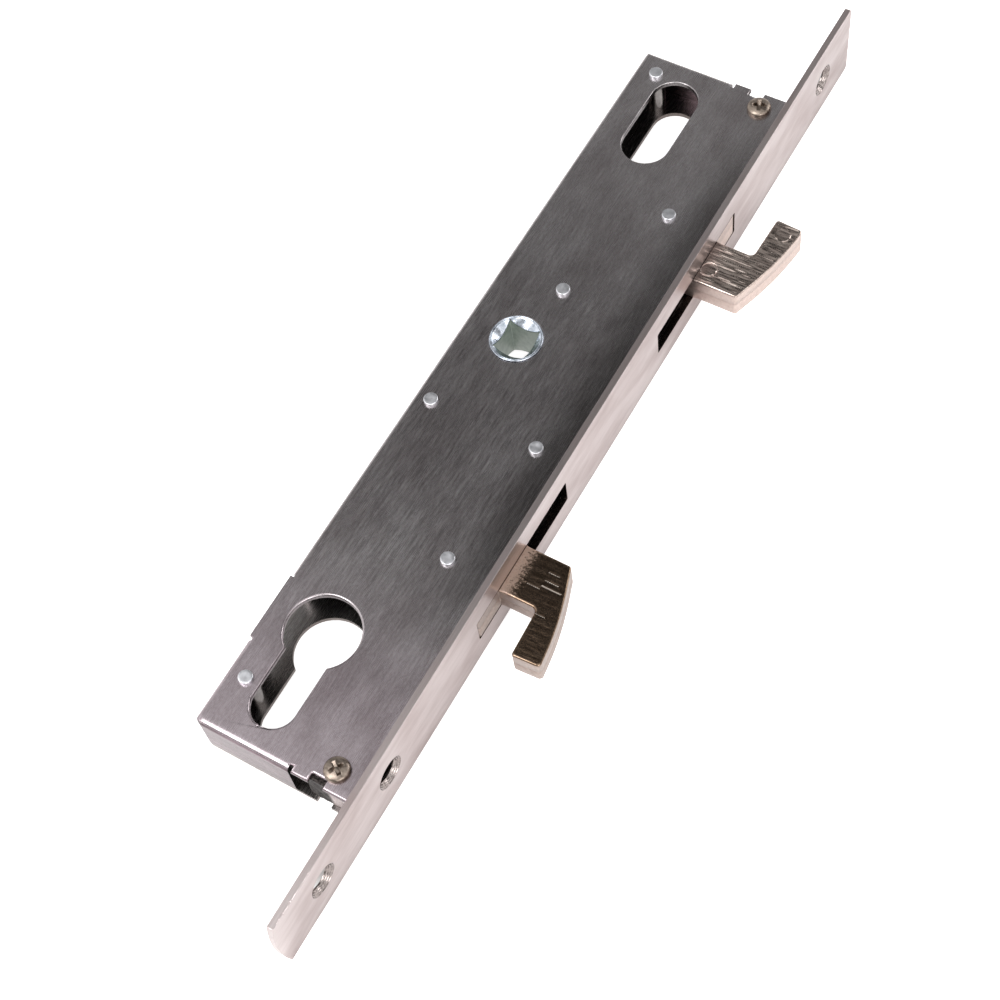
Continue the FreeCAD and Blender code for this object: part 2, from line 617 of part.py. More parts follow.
def build():
    """Every node of the lock by name."""
    upper = (HOOK_PIVOT_X, UPPER_PIVOT_Y)
    lower = (HOOK_PIVOT_X, LOWER_PIVOT_Y)
    nodes = {
        "case_pan": case_pan(),
        "rear_cover": rear_cover(),
        "forend": forend(),
        "forend_lug_top": forend_lug(CASE_TOP, -1, UPPER_SCREW_Y),
        "forend_lug_bottom": forend_lug(CASE_BOTTOM, 1, LOWER_SCREW_Y),
        "case_screws": Part.makeCompound([case_screw(UPPER_SCREW_Y), case_screw(LOWER_SCREW_Y)]),
        "pillar_top": pillar(*PILLAR_TOP_AT, PILLAR_DIAMETER),
        "pillar_upper_guide": pillar(*UPPER_GUIDE_AT, PILLAR_DIAMETER),
        "pillar_back": pillar(*PILLAR_BACK_AT, PILLAR_DIAMETER),
        "pillar_front_guide": pillar(*FRONT_GUIDE_AT, PILLAR_DIAMETER),
        "pillar_bottom": pillar(*PILLAR_BOTTOM_AT, PILLAR_DIAMETER),
        "upper_hook_pivot": pillar(*upper, PIVOT_DIAMETER),
        "lower_hook_pivot": pillar(*lower, PIVOT_DIAMETER),
        "upper_pivot_washers": placed(washers(), *upper),
        "lower_pivot_washers": placed(washers(), *lower),
        "spindle_follower": spindle_follower(),
        "follower_pins": follower_pins(),
        "upper_drive_slide": upper_drive_slide(),
        "lower_drive_slide": lower_drive_slide(),
        "upper_hook": placed(hook(), *upper),
        "lower_hook": placed(mirrored(hook()), *lower),
        "upper_hook_tail_pin": placed(tail_pin(), *upper),
        "lower_hook_tail_pin": placed(mirrored(tail_pin()), *lower),
    }
    return nodes


NODES = build()
os.makedirs("parts", exist_ok=True)
for name, shape in NODES.items():
    shape.exportStep("parts/" + name + ".step")
    print(name, "valid" if shape.isValid() else "NOT VALID", len(shape.Solids), round(shape.Volume, 1))
print("slide travel", round(SLIDE_TRAVEL, 4))
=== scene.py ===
"""Sliding door mortise lock: its looks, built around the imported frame.

Everything is in metres in the lock's own frame: X points out through the forend, Y up the door, Z out of
the case face with the rivet ends.  Real sizes are written in millimetres times MM.
"""
import json
import math
from contextlib import contextmanager
import bmesh
import bpy
import numpy as np
from mathutils import Matrix, Vector
from mathutils.geometry import delaunay_2d_cdt


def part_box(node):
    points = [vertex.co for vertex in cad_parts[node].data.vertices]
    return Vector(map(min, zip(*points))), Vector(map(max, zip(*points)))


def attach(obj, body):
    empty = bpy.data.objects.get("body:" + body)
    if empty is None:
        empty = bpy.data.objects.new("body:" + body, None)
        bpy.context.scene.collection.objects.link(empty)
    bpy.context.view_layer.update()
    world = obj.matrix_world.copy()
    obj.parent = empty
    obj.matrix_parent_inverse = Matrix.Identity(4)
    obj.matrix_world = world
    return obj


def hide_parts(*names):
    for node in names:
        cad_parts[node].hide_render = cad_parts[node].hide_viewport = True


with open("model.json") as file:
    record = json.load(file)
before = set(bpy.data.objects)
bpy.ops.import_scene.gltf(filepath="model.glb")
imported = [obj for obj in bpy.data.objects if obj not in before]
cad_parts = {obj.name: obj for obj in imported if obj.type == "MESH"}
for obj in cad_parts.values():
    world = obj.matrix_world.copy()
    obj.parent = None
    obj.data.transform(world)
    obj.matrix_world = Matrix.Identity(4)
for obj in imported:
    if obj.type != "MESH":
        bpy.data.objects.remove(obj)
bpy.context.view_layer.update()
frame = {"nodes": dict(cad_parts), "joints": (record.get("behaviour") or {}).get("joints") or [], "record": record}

MM = 0.001
CASE_LOW, CASE_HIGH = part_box("case_pan")
FOREND_LOW, FOREND_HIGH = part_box("forend")
FACE_Z = CASE_HIGH.z
SHEET = 1.2 * MM
INNER_Z = FACE_Z - SHEET
CLOSE = 0.05 * MM

# Shading and rounding of every piece
SHARP_ANGLE = math.radians(35)
FLAT_ANGLE = math.radians(0.6)
EDGE_SEGMENTS = 3
ON_AXIS = 1e-7

# Case: back corners, and rolled edges of the holes in its face
CORNER_RADIUS = 1.9 * MM
CORNER_REACH = CORNER_RADIUS + 0.2 * MM
CYLINDER_EDGE = 0.5 * MM
OBLONG_EDGE = 0.3 * MM
HUB_HOLE_EDGE = 0.18 * MM
HUB_HOLE_REACH = 7 * MM
RIVET_HOLE_REACH = 2.2 * MM
BACK_MARGIN = 2.5 * MM

# Camera of the photograph
CAMERA_PLACE = Vector((122.68, -199.83, 378.57)) * MM
CAMERA_FORWARD = Vector((-0.3112, 0.377, -0.8724))
CAMERA_UP = Vector((-0.4007, 0.7803, 0.4801))
CAMERA_LENS = 68.665
CAMERA_SENSOR = 36.0

# Hooks, about their pivots, tip towards +Y
HOOK_HALF = 3.65 * MM
HOOK_EDGE = 0.45 * MM
HEEL_EDGE = 0.12 * MM
STEM_OUTER_EDGE = -12.3 * MM
STEM_INNER_EDGE = 0.25 * MM
HOOK_REACH = 29.95 * MM
HOOK_THROAT = 22.45 * MM
HOOK_BELLY = 28.45 * MM
HOOK_SHOULDER = 24.2 * MM
TIP_HEIGHT = 12.1 * MM
HEEL_FRONT = 12.7 * MM
HEEL_TOP = 9.45 * MM
PIVOT_RADIUS = 2.5 * MM
PIVOT_GAP = 0.06 * MM
TAIL_REACH = 5.445 * MM
TAIL_WALL = 3.5 * MM
EJECTOR_RADIUS = 1.9 * MM
EJECTOR_PLACES = ((14.8 * MM, -7.8 * MM), (26.1 * MM, 8.8 * MM))
EJECTOR_LINE = 0.13 * MM
PARTING_GROOVE = ((0, 0.32), (0.05, 0.24), (0.05, 0.16), (0, 0.08))

# Relief of the hooks' faces
CAST_DEPTH = 0.13 * MM
POLISHED_DEPTH = 0.01 * MM
RING_DEPTH = 0.06 * MM
DISC_DEPTH = 0.015 * MM
SCRAPE_DEPTH = 0.03 * MM
SCRAPE_SPREAD = 0.13 * MM
STREAKS_FROM = 13.0 * MM
RIM_FADE = 0.35 * MM

# Scrapes on the lower hook's face, in mm about its pivot: (start X, end X, height)
SCRAPES = ((20.5, 23.2, -8.7), (20.6, 24.2, -6.6), (20.6, 25.5, -5.1), (17.5, 20.7, -4.2), (22.7, 25.1, 1.4))

# Follower: rounding, groove and lip of its ends, and its square
HUB_EDGE = 0.16 * MM
GROOVE_RADIUS = 5.98 * MM
GROOVE_DEPTH = 0.11 * MM
LIP_RADIUS = 6.24 * MM
LIP_THICKNESS = 0.17 * MM
LIP_SUNK = 0.02 * MM
SQUARE_REACH = 4.05 * MM
HUB_SIDES = 96

# Forend: rounding of its outline and of its holes, reach of a countersink's cone from its axis, half width,
# middle and reach of the hook slots, and nicks in its lower edge (height, radius, x)
STRIP_EDGE = 0.14 * MM
STRIP_HOLE_EDGE = 0.06 * MM
STRIP_END = 9 * MM
CONE_REACH = 4.3 * MM
SLOT_HALF = 5 * MM
SLOTS_MIDDLE = -6 * MM
SLOTS_REACH = 130 * MM
NICKS = ((-133.0 * MM, 0.4 * MM, 0.1 * MM), (-139.7 * MM, 0.5 * MM, 0.1 * MM),
         (-142.4 * MM, 0.45 * MM, 0.1 * MM), (-143.9 * MM, 0.4 * MM, 0.1 * MM))

# Rivet ends, with the dish that the punch leaves (radius, depth), and pillars
RIVET_RADIUS = 1.7 * MM
RIVET_EDGE = 0.22 * MM
DISH = ((RIVET_RADIUS * 0.6, 0), (RIVET_RADIUS * 0.3, 0.03 * MM), (ON_AXIS, 0.04 * MM))
PILLAR_RADIUS = 2.4 * MM
PILLARS = ("pillar_top", "pillar_upper_guide", "pillar_back", "pillar_front_guide", "pillar_bottom")
PIVOTS = ("upper_hook_pivot", "lower_hook_pivot")
RIVETED = PILLARS + PIVOTS

# Nodes whose own shape is kept and that only get a finish
CARRIED = ("upper_pivot_washers", "lower_pivot_washers", "follower_pins", "upper_drive_slide",
           "lower_drive_slide", "upper_hook_tail_pin", "lower_hook_tail_pin")

# Screws: a domed head that starts at HEAD_RIM of its height; a cross recess (half width, slope, reach in mm)
SCREW_SHANK = 1.5 * MM
SCREW_SIDES = 128
HEAD_RIM, HEAD_RISE, HEAD_POWER = 0.32, 0.68, 2.6
RECESS_DEPTH = 1.15 * MM
WING_HALF, WING_SLOPE, WING_REACH = 0.5, 0.14, 1.75

# Cast lugs
LUG_VOXEL = 0.3 * MM
LUG_GRAIN = 0.5 * MM
LUG_DEPTH = 0.09 * MM

# Studio: the table's half size in metres, its painted shadow under the lock with where that fades on each
# # side, the camera stand's direction and spread, and the lamps' aim
TABLE_HALF = 3.0
PAINTED_SHADOW_X, PAINTED_SHADOW_Y = -3.8 * MM, -6.6 * MM
PAINTED_SHADOW_FADE_X, PAINTED_SHADOW_FADE_Y = (2.0 * MM, 5.0 * MM), (117 * MM, 134 * MM)
STAND_X, STAND_Y = (-0.27, 0.22), (0.35, 0.14)
LAMP_AIM = (-0.02, -0.04, 0)


def joint_place(body):
    """Where the joint of a body lies, in metres."""
    return next(j for j in frame["joints"] if j["child"] == body)["pos_m"]


def linked(piece):
    """Puts a new object into the scene and gives it back."""
    bpy.context.scene.collection.objects.link(piece)
    return piece


@contextmanager
def edited(mesh):
    """Editable form of a mesh, written back at the end."""
    bm = bmesh.new()
    bm.from_mesh(mesh)
    yield bm
    bm.to_mesh(mesh)
    bm.free()


def camera():
    """The photograph's camera, looking along CAMERA_FORWARD."""
    forward = CAMERA_FORWARD.normalized()
    right = forward.cross(CAMERA_UP).normalized()
    up = right.cross(forward)
    data = bpy.data.cameras.new("photo_camera")
    data.sensor_width = CAMERA_SENSOR
    data.lens = CAMERA_LENS
    data.clip_start = 0.01
    turn = Matrix((right, up, -forward)).transposed().to_4x4()
    piece = linked(bpy.data.objects.new("photo_camera", data))
    piece.matrix_world = Matrix.Translation(CAMERA_PLACE) @ turn
    bpy.context.scene.camera = piece


def linear(hex_colour):
    """sRGB hex to linear RGBA: each channel through the sRGB curve's inverse."""
    channels = [int(hex_colour[i:i + 2], 16) / 255 for i in (1, 3, 5)]
    return [c / 12.92 if c <= 0.04045 else ((c + 0.055) / 1.055) ** 2.4 for c in channels] + [1.0]


def add(tree, kind, links=None, **settings):
    """Adds a node; links maps an input's name or number to a value or to another node's output."""
    node = tree.nodes.new(kind)
    for name, value in settings.items():
        setattr(node, name, value)
    for name, value in (links or {}).items():
        if isinstance(value, bpy.types.NodeSocket):
            tree.links.new(value, node.inputs[name])
        else:
            node.inputs[name].default_value = value
    return node


def blank(name):
    """New material with an empty node tree and its output."""
    material = bpy.data.materials.new(name)
    material.use_nodes = True
    material.node_tree.nodes.clear()
    return material, material.node_tree


def ramp(tree, factor, stops):
    """Colour ramp over a factor, from (place, hex colour) stops."""
    node = add(tree, "ShaderNodeValToRGB", {0: factor})
    elements = node.color_ramp.elements
    for i, (place, colour) in enumerate(stops):
        element = elements[i] if i < 2 else elements.new(place)
        element.position = place
        element.color = linear(colour)
    return node.outputs[0]


def number(tree, how, first, second=None):
    """One math step on numbers or sockets."""
    links = {0: first} if second is None else {0: first, 1: second}
    return add(tree, "ShaderNodeMath", links, operation=how).outputs[0]


def stepped(tree, value, start, end, low, high):
    """Smooth change from low to high as a value goes from start to end."""
    links = {"Value": value, "From Min": start, "From Max": end, "To Min": low, "To Max": high}
    return add(tree, "ShaderNodeMapRange", links, interpolation_type="SMOOTHSTEP").outputs[0]


def object_place(tree):
    """X, Y and Z of the surface in the lock's frame, in metres."""
    place = add(tree, "ShaderNodeTexCoord").outputs["Object"]
    parts = add(tree, "ShaderNodeSeparateXYZ", {0: place})
    return [parts.outputs[k] for k in ("X", "Y", "Z")]


def drawn_noise(tree, spacing, detail=4.0, roughness=0.6):
    """Noise on Object coordinates whose features measure spacing (x, y, z) in metres."""
    place = add(tree, "ShaderNodeTexCoord").outputs["Object"]
    scale = [1 / s for s in spacing]
    stretched = add(tree, "ShaderNodeMapping", {"Vector": place, "Scale": scale})
    noise = add(tree, "ShaderNodeTexNoise", {"Vector": stretched.outputs[0], "Scale": 1.0, "Detail": detail,
                                             "Roughness": roughness})
    return noise.outputs[0]


def ranged(tree, value, low, high, start=0.3, end=0.7):
    """Value between start and end mapped to low to high."""
    links = {"Value": value, "From Min": start, "From Max": end, "To Min": low, "To Max": high}
    return add(tree, "ShaderNodeMapRange", links).outputs[0]


def blended(tree, factor, first, second, how="MIX"):
    """Two colours mixed by a factor."""
    node = add(tree, "ShaderNodeMix", data_type="RGBA", blend_type=how)
    for name, value in (("Factor", factor), ("A", first), ("B", second)):
        socket = [s for s in node.inputs if s.name == name and s.enabled][0]
        if isinstance(value, bpy.types.NodeSocket):
            tree.links.new(value, socket)
        else:
            socket.default_value = value
    return [s for s in node.outputs if s.enabled][0]


def metal(tree, colour, roughness, height, bump_depth):
    """Metal with a colour, a roughness and a bump height, all from nodes; depth in metres."""
    bump = add(tree, "ShaderNodeBump", {"Height": height, "Strength": 1.0, "Distance": bump_depth})
    links = {"Base Color": colour, "Metallic": 1.0, "Roughness": roughness, "Normal": bump.outputs[0]}
    shader = add(tree, "ShaderNodeBsdfPrincipled", links)
    add(tree, "ShaderNodeOutputMaterial", {"Surface": shader.outputs[0]})


def painted_shade_and_pink_reflection(tree, colour):
    """The case face's painted shade beside the strip at mid height, and a faint painted pink reflection low down.
    """
    x, y, _ = object_place(tree)
    beside = stepped(tree, x, CASE_HIGH.x - 13 * MM, CASE_HIGH.x - 2 * MM, 0.0, 1.0)
    below = stepped(tree, y, -85 * MM, -45 * MM, 0.0, 0.65)
    above = stepped(tree, y, 45 * MM, 95 * MM, 1.0, 0.0)
    # Painted shade: darker beside the strip at mid height, between the lower and upper bounds.
    painted_shade_mask = number(tree, "MULTIPLY", beside, number(tree, "MULTIPLY", below, above))
    colour = blended(tree, painted_shade_mask, colour, linear("#4a4846"))
    # Painted pink reflection, fading out above the lower end.
    painted_pink_reflection_mask = stepped(tree, y, -100 * MM, -60 * MM, 1.0, 0.0)
    return blended(tree, painted_pink_reflection_mask, colour, linear("#fff7fc"), "MULTIPLY")


def brushed_stainless_sheet(name, dark, light, drawn=(0.25, 6, 0.25), with_painted_shading=False):
    """Cold-rolled stainless sheet: fine lines drawn out along one axis (mm), with cloudy handling marks; on the
    case face also painted shade and a painted pink reflection.
    """
    material, tree = blank(name)
    spacing = [d * MM for d in drawn]
    lines = drawn_noise(tree, spacing, detail=5.0, roughness=0.7)
    clouds = drawn_noise(tree, (11 * MM, 19 * MM, 11 * MM), detail=3.0)
    grain = drawn_noise(tree, (0.5 * MM, 0.8 * MM, 0.5 * MM), detail=2.0)
    colour = ramp(tree, lines, [(0.3, dark), (0.7, light)])
    for pattern, stops in ((clouds, [(0.35, "#dfdcdc"), (0.65, "#ffffff")]),
                           (grain, [(0.35, "#efecec"), (0.62, "#ffffff")])):
        colour = blended(tree, 1.0, colour, ramp(tree, pattern, stops), "MULTIPLY")
    # Painted shade beside the strip and a painted pink reflection low down on the case face.
    if with_painted_shading:
        colour = painted_shade_and_pink_reflection(tree, colour)
    metal(tree, colour, ranged(tree, lines, 0.22, 0.32), drawn_noise(tree, spacing, detail=1.5), 0.003 * MM)
    return material


def satin_stainless(name):
    """Satin stainless strip: even fine satin along Y, pinkish light grey with soft smudges."""
    material, tree = blank(name)
    lines = drawn_noise(tree, (0.25 * MM, 14 * MM, 0.25 * MM), detail=4.0)
    smudges = drawn_noise(tree, (6 * MM, 22 * MM, 6 * MM), detail=3.0)
    tone = ramp(tree, lines, [(0.3, "#b2a7a6"), (0.7, "#c2b8b7")])
    smudge_tone = ramp(tree, smudges, [(0.3, "#e2dbda"), (0.62, "#ffffff")])
    colour = blended(tree, 1.0, tone, smudge_tone, "MULTIPLY")
    metal(tree, colour, ranged(tree, smudges, 0.36, 0.28), lines, 0.006 * MM)
    return material


def nickel_plate(name, dark, light, rough_low, rough_high, grit):
    """Nickel plate over a cast or turned piece: warm, bright, its roughness from the metal below."""
    material, tree = blank(name)
    patches = drawn_noise(tree, (2.4 * MM, 1.1 * MM, 2.4 * MM), detail=4.0)
    fine = drawn_noise(tree, (grit, grit * 0.5, grit), detail=3.0)
    colour = ramp(tree, patches, [(0.3, dark), (0.7, light)])
    metal(tree, colour, ranged(tree, patches, rough_low, rough_high), fine, 0.02 * MM)
    return material


def cast_nickel(name, sides, faces, polish, root):
    """Nickel over a casting: satin sides, streaked faces with a painted shadow line where they meet the strip, and
    a rough tan root up to X = root where root > 0."""
    material, tree = blank(name)
    patches = drawn_noise(tree, (2.6 * MM, 0.5 * MM, 2.6 * MM), detail=4.0)
    specks = drawn_noise(tree, (0.9 * MM, 0.7 * MM, 0.9 * MM), detail=6.0, roughness=0.75)
    fine = drawn_noise(tree, (0.3 * MM, 0.15 * MM, 0.3 * MM), detail=3.0)
    x, _, z = object_place(tree)
    face = stepped(tree, z, HOOK_HALF - 0.5 * MM, HOOK_HALF - 0.2 * MM, 0.0, 1.0)
    colour = blended(tree, face, ramp(tree, specks, [(0.3, sides[0]), (0.7, sides[1])]),
                     ramp(tree, patches, [(0.3, faces[0]), (0.7, faces[1])]))
    smooth = face
    if root:
        reach = number(tree, "ADD", x, ranged(tree, specks, -2.4 * MM, 2.4 * MM))
        near = number(tree, "MULTIPLY", face, stepped(tree, reach, root, root + 3.6 * MM, 1.0, 0.0))
        colour = blended(tree, near, colour, ramp(tree, specks, [(0.3, "#b89c8a"), (0.7, "#e4cfc0")]))
        smooth = number(tree, "SUBTRACT", face, near)
    # Painted shadow: a dark line on the hook's face along the strip's edge, standing for the gap between them.
    painted_gap_shadow_mask = stepped(tree, x, FOREND_HIGH.x, FOREND_HIGH.x + 0.25 * MM, 1.0, 0.0)
    colour = blended(tree, number(tree, "MULTIPLY", face, painted_gap_shadow_mask), colour, linear("#2b1a12"))
    metal(tree, colour, ranged(tree, smooth, 0.38, polish, 0.0, 1.0), fine, 0.018 * MM)
    return material


def turned_countersink(name):
    """Countersink cut by a turning tool: bright, with fine rings round each hole's axis."""
    material, tree = blank(name)
    _, y, z = object_place(tree)
    nearest = None
    for height in countersink_places():
        off = number(tree, "SUBTRACT", y, height)
        square = number(tree, "ADD", number(tree, "POWER", off, 2.0), number(tree, "POWER", z, 2.0))
        far = number(tree, "SQRT", square)
        nearest = far if nearest is None else number(tree, "MINIMUM", nearest, far)
    rings = number(tree, "SINE", number(tree, "MULTIPLY", nearest, 2 * math.pi / (0.36 * MM)))
    grain = drawn_noise(tree, (0.5 * MM, 0.5 * MM, 0.5 * MM))
    colour = ramp(tree, grain, [(0.3, "#6d6461"), (0.7, "#a79e9b")])
    metal(tree, colour, ranged(tree, rings, 0.14, 0.26, -1.0, 1.0), rings, 0.025 * MM)
    return material


def zinc_plate(name, dark, light, rough_low, rough_high):
    """Bright zinc plate: bluish white, slightly cloudy."""
    material, tree = blank(name)
    clouds = drawn_noise(tree, (1.3 * MM, 1.3 * MM, 1.3 * MM), detail=4.0)
    fine = drawn_noise(tree, (0.25 * MM, 0.25 * MM, 0.25 * MM), detail=2.0)
    colour = ramp(tree, clouds, [(0.3, dark), (0.7, light)])
    metal(tree, colour, ranged(tree, clouds, rough_low, rough_high), fine, 0.015 * MM)
    return material


def cast_zinc(name):
    """Raw die-cast zinc, grainy, painted nearly black as shade in the notch and painted light close to the strip.
    """
    material, tree = blank(name)
    grain = drawn_noise(tree, (0.4 * MM, 0.4 * MM, 0.4 * MM), detail=4.0)
    # Painted light near the strip; the nearly black tone farther off is painted shade.
    painted_light_near_strip = stepped(tree, object_place(tree)[0], -9.4 * MM, -8.0 * MM, 0.0, 1.0)
    colour = blended(tree, painted_light_near_strip, ramp(tree, grain, [(0.35, "#0b0909"), (0.65, "#4a4543")]),
                     ramp(tree, grain, [(0.3, "#aea3a2"), (0.7, "#ded3d2")]))
    metal(tree, colour, ranged(tree, grain, 0.6, 0.45), grain, 0.08 * MM)
    return material


def closed_piece(name, points, faces, merged):
    """Object from arrays, its doubles merged within a distance and its faces turned outwards."""
    mesh = bpy.data.meshes.new(name)
    faces = faces if isinstance(faces, list) else faces.reshape(-1, 4).tolist()
    mesh.from_pydata(np.asarray(points).reshape(-1, 3), [], faces)
    with edited(mesh) as bm:
        bmesh.ops.remove_doubles(bm, verts=bm.verts, dist=merged)
        bmesh.ops.recalc_face_normals(bm, faces=bm.faces)
    return linked(bpy.data.objects.new(name, mesh))


def put_mesh(name, points, faces, material, body, slot, replaced=()):
    """Makes a finished piece from arrays, smooth shaded with sharp edges, riding on a body."""
    return finished(closed_piece(name, points, faces, 0.002 * MM), material, body, replaced)


def loose(name, points, faces):
    """Closed mesh used only as a cutter."""
    return closed_piece(name, points, faces, 0.0005 * MM)


def finished(piece, material, body, replaced=()):
    """Gives a piece its material, shading and body, and hides the nodes that it stands for."""
    mesh = piece.data
    mesh.materials.clear()
    mesh.materials.append(material)
    mesh.polygons.foreach_set("use_smooth", np.ones(len(mesh.polygons), bool))
    mesh.set_sharp_from_angle(angle=SHARP_ANGLE)
    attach(piece, body)
    if replaced:
        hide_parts(*replaced)
    return piece


def softened(name, node, radius_at, material, body):
    """Copy of a node whose sharp edges are rounded by radius_at(middle of the edge), in metres."""
    mesh = frame["nodes"][node].data.copy()
    mesh.name = name
    with edited(mesh) as bm:
        bmesh.ops.remove_doubles(bm, verts=bm.verts, dist=0.001 * MM)
        bmesh.ops.dissolve_limit(bm, angle_limit=FLAT_ANGLE, verts=bm.verts, edges=bm.edges)
        weight = bm.edges.layers.float.new("bevel_weight_edge")
        for edge in bm.edges:
            if edge.calc_face_angle(0.0) > SHARP_ANGLE:
                edge[weight] = radius_at((edge.verts[0].co + edge.verts[1].co) / 2) / MM
    piece = linked(bpy.data.objects.new(name, mesh))
    bevel = piece.modifiers.new("edges", "BEVEL")
    bevel.width = MM
    bevel.segments = EDGE_SEGMENTS
    bevel.limit_method = "WEIGHT"
    bevel.use_clamp_overlap = False
    bevel.harden_normals = True
    return finished(piece, material, body, (node,))


def punched_edge(place):
    """Radius of a sheet edge: rolled over where a hole meets the visible face, sharp elsewhere."""
    if place.z < FACE_Z - CLOSE or not CASE_LOW.x + BACK_MARGIN < place.x < CASE_HIGH.x - CLOSE:
        return 0.0
    for node in RIVETED:
        low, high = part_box(node)
        if math.hypot(place.x - (low.x + high.x) / 2, place.y - (low.y + high.y) / 2) < RIVET_HOLE_REACH:
            return 0.0
    hub = joint_place("follower")
    if math.hypot(place.x - hub[0], place.y - hub[1]) < HUB_HOLE_REACH:
        return HUB_HOLE_EDGE
    return OBLONG_EDGE if place.y > 0 else CYLINDER_EDGE


def without_doubled_faces(mesh):
    """Takes out the faces that lie twice on the same corners, as a bevel can leave them at its ends."""
    with edited(mesh) as bm:
        bmesh.ops.remove_doubles(bm, verts=bm.verts, dist=0.0005 * MM)
        same = {}
        for face in bm.faces:
            same.setdefault(frozenset(v.index for v in face.verts), []).append(face)
        doubled = [f for faces in same.values() if len(faces) > 1 for f in faces]
        bmesh.ops.delete(bm, geom=doubled, context="FACES")


def carved(piece, cutters):
    """Cuts closed meshes out of a piece, applies all its modifiers and takes the cutters away."""
    for cutter in cutters:
        cut = piece.modifiers.new("cut", "BOOLEAN")
        cut.operation = "DIFFERENCE"
        cut.solver = "EXACT"
        cut.object = cutter
    mesh = bpy.data.meshes.new_from_object(piece.evaluated_get(bpy.context.evaluated_depsgraph_get()))
    piece.modifiers.clear()
    piece.data = mesh
    without_doubled_faces(mesh)
    mesh.set_sharp_from_angle(angle=SHARP_ANGLE)
    flats = piece.modifiers.new("flats", "WEIGHTED_NORMAL")
    flats.keep_sharp = True
    flats.weight = 100
    for cutter in cutters:
        bpy.data.objects.remove(cutter)


def second_finish(piece, material, chosen):
    """Gives the faces that chosen(centre, normal) picks a second material."""
    piece.data.materials.append(material)
    for polygon in piece.data.polygons:
        if chosen(polygon.center, polygon.normal):
            polygon.material_index = len(piece.data.materials) - 1


def crossed(mesh, place, normal):
    """Adds the edges where a mesh crosses a plane, so that shading near a corner isn't drawn along a bend."""
    with edited(mesh) as bm:
        everything = bm.verts[:] + bm.edges[:] + bm.faces[:]
        bmesh.ops.bisect_plane(bm, geom=everything, plane_co=place, plane_no=normal)


def corner_cutter(way):
    """Prism outside a quarter circle of CORNER_RADIUS, which rounds the case's back corner at one end
    (way 1 the lower, -1 the upper)."""
    out = 0.4 * MM
    y = CASE_LOW.y if way > 0 else CASE_HIGH.y
    bow = arc((CORNER_RADIUS, CORNER_RADIUS), CORNER_RADIUS, 270, 180, 15)
    plan = np.vstack([[(-out, -out), (CORNER_RADIUS, -out)], bow, [(-out, CORNER_RADIUS)]])
    tip = np.repeat(plan[:1], len(plan), 0)
    top = FACE_Z + out
    rows = ((tip, -top), (plan, -top), (plan, top), (tip, top))
    points = [np.column_stack([CASE_LOW.x + p[:, 0], y + way * p[:, 1], np.full(len(p), z)]) for p, z in rows]
    return loose("corner_cutter", np.vstack(points), grid_faces(4, len(plan)))


def grid_faces(rows, columns):
    """Quads of a grid of rows x columns points, the columns closed into a ring."""
    r, c = np.meshgrid(np.arange(rows - 1), np.arange(columns), indexing="ij")
    here, after = r * columns + c, r * columns + (c + 1) % columns
    return np.stack([here, after, after + columns, here + columns], -1)


def joined(parts):
    """One (points, faces) made of several, their faces renumbered."""
    points, faces, start = [], [], 0
    for more, polygons in parts:
        more = np.asarray(more).reshape(-1, 3)
        polygons = polygons if isinstance(polygons, list) else polygons.reshape(-1, 4).tolist()
        points.append(more)
        faces += [[i + start for i in polygon] for polygon in polygons]
        start += len(more)
    return np.vstack(points), faces


def turned(profile, centre, sides):
    """Turned piece: profile (radius, height) rows carried round an axis along Z through centre."""
    profile = np.asarray(profile, float)
    angle = np.linspace(0, 2 * math.pi, sides, endpoint=False)
    x = centre[0] + profile[:, :1] * np.cos(angle)
    y = centre[1] + profile[:, :1] * np.sin(angle)
    z = np.repeat(profile[:, 1:], sides, axis=1)
    return np.stack([x, y, z], -1), grid_faces(len(profile), sides)


def arc(centre, radius, start, end, count):
    """(radius, height) points of an arc, in degrees."""
    angle = np.radians(np.linspace(start, end, count))
    return np.stack([centre[0] + radius * np.cos(angle), centre[1] + radius * np.sin(angle)], -1)


def rounded_outline(corners, spacing):
    """Closed outline through (x, y, radius) corners: tangent arcs joined by lines, at an even spacing."""
    corners = np.asarray(corners, float)
    here, radius = corners[:, :2], corners[:, 2]
    before = np.roll(here, 1, 0) - here
    after = np.roll(here, -1, 0) - here
    before /= np.linalg.norm(before, axis=1)[:, None]
    after /= np.linalg.norm(after, axis=1)[:, None]
    half = np.arccos(np.clip((before * after).sum(1), -1, 1)) / 2
    middle = (before + after) / np.linalg.norm(before + after, axis=1)[:, None]
    centre = here + middle * (radius / np.sin(half))[:, None]
    run = radius / np.tan(half)
    start = here + before * run[:, None] - centre
    end = here + after * run[:, None] - centre
    first = np.arctan2(start[:, 1], start[:, 0])
    turn = (np.arctan2(end[:, 1], end[:, 0]) - first + math.pi) % (2 * math.pi) - math.pi
    share = np.linspace(0, 1, 25)
    angles = first[:, None] + turn[:, None] * share
    points = centre[:, None] + radius[:, None, None] * np.stack([np.cos(angles), np.sin(angles)], -1)
    points = points.reshape(-1, 2)
    closed = np.vstack([points, points[:1]])
    step = np.linalg.norm(np.diff(closed, axis=0), axis=1)
    along = np.concatenate([[0], np.cumsum(step)])
    count = int(along[-1] / spacing)
    places = np.linspace(0, along[-1], count, endpoint=False)
    return np.stack([np.interp(places, along, closed[:, k]) for k in (0, 1)], -1)


def inward_normals(outline):
    """Unit vectors pointing into a closed outline that runs either way round."""
    tangent = np.roll(outline, -1, 0) - np.roll(outline, 1, 0)
    tangent /= np.linalg.norm(tangent, axis=1)[:, None]
    normal = np.stack([-tangent[:, 1], tangent[:, 0]], -1)
    after = np.roll(outline, -1, 0)
    area = (outline[:, 0] * after[:, 1] - after[:, 0] * outline[:, 1]).sum() / 2
    return normal * np.sign(area)


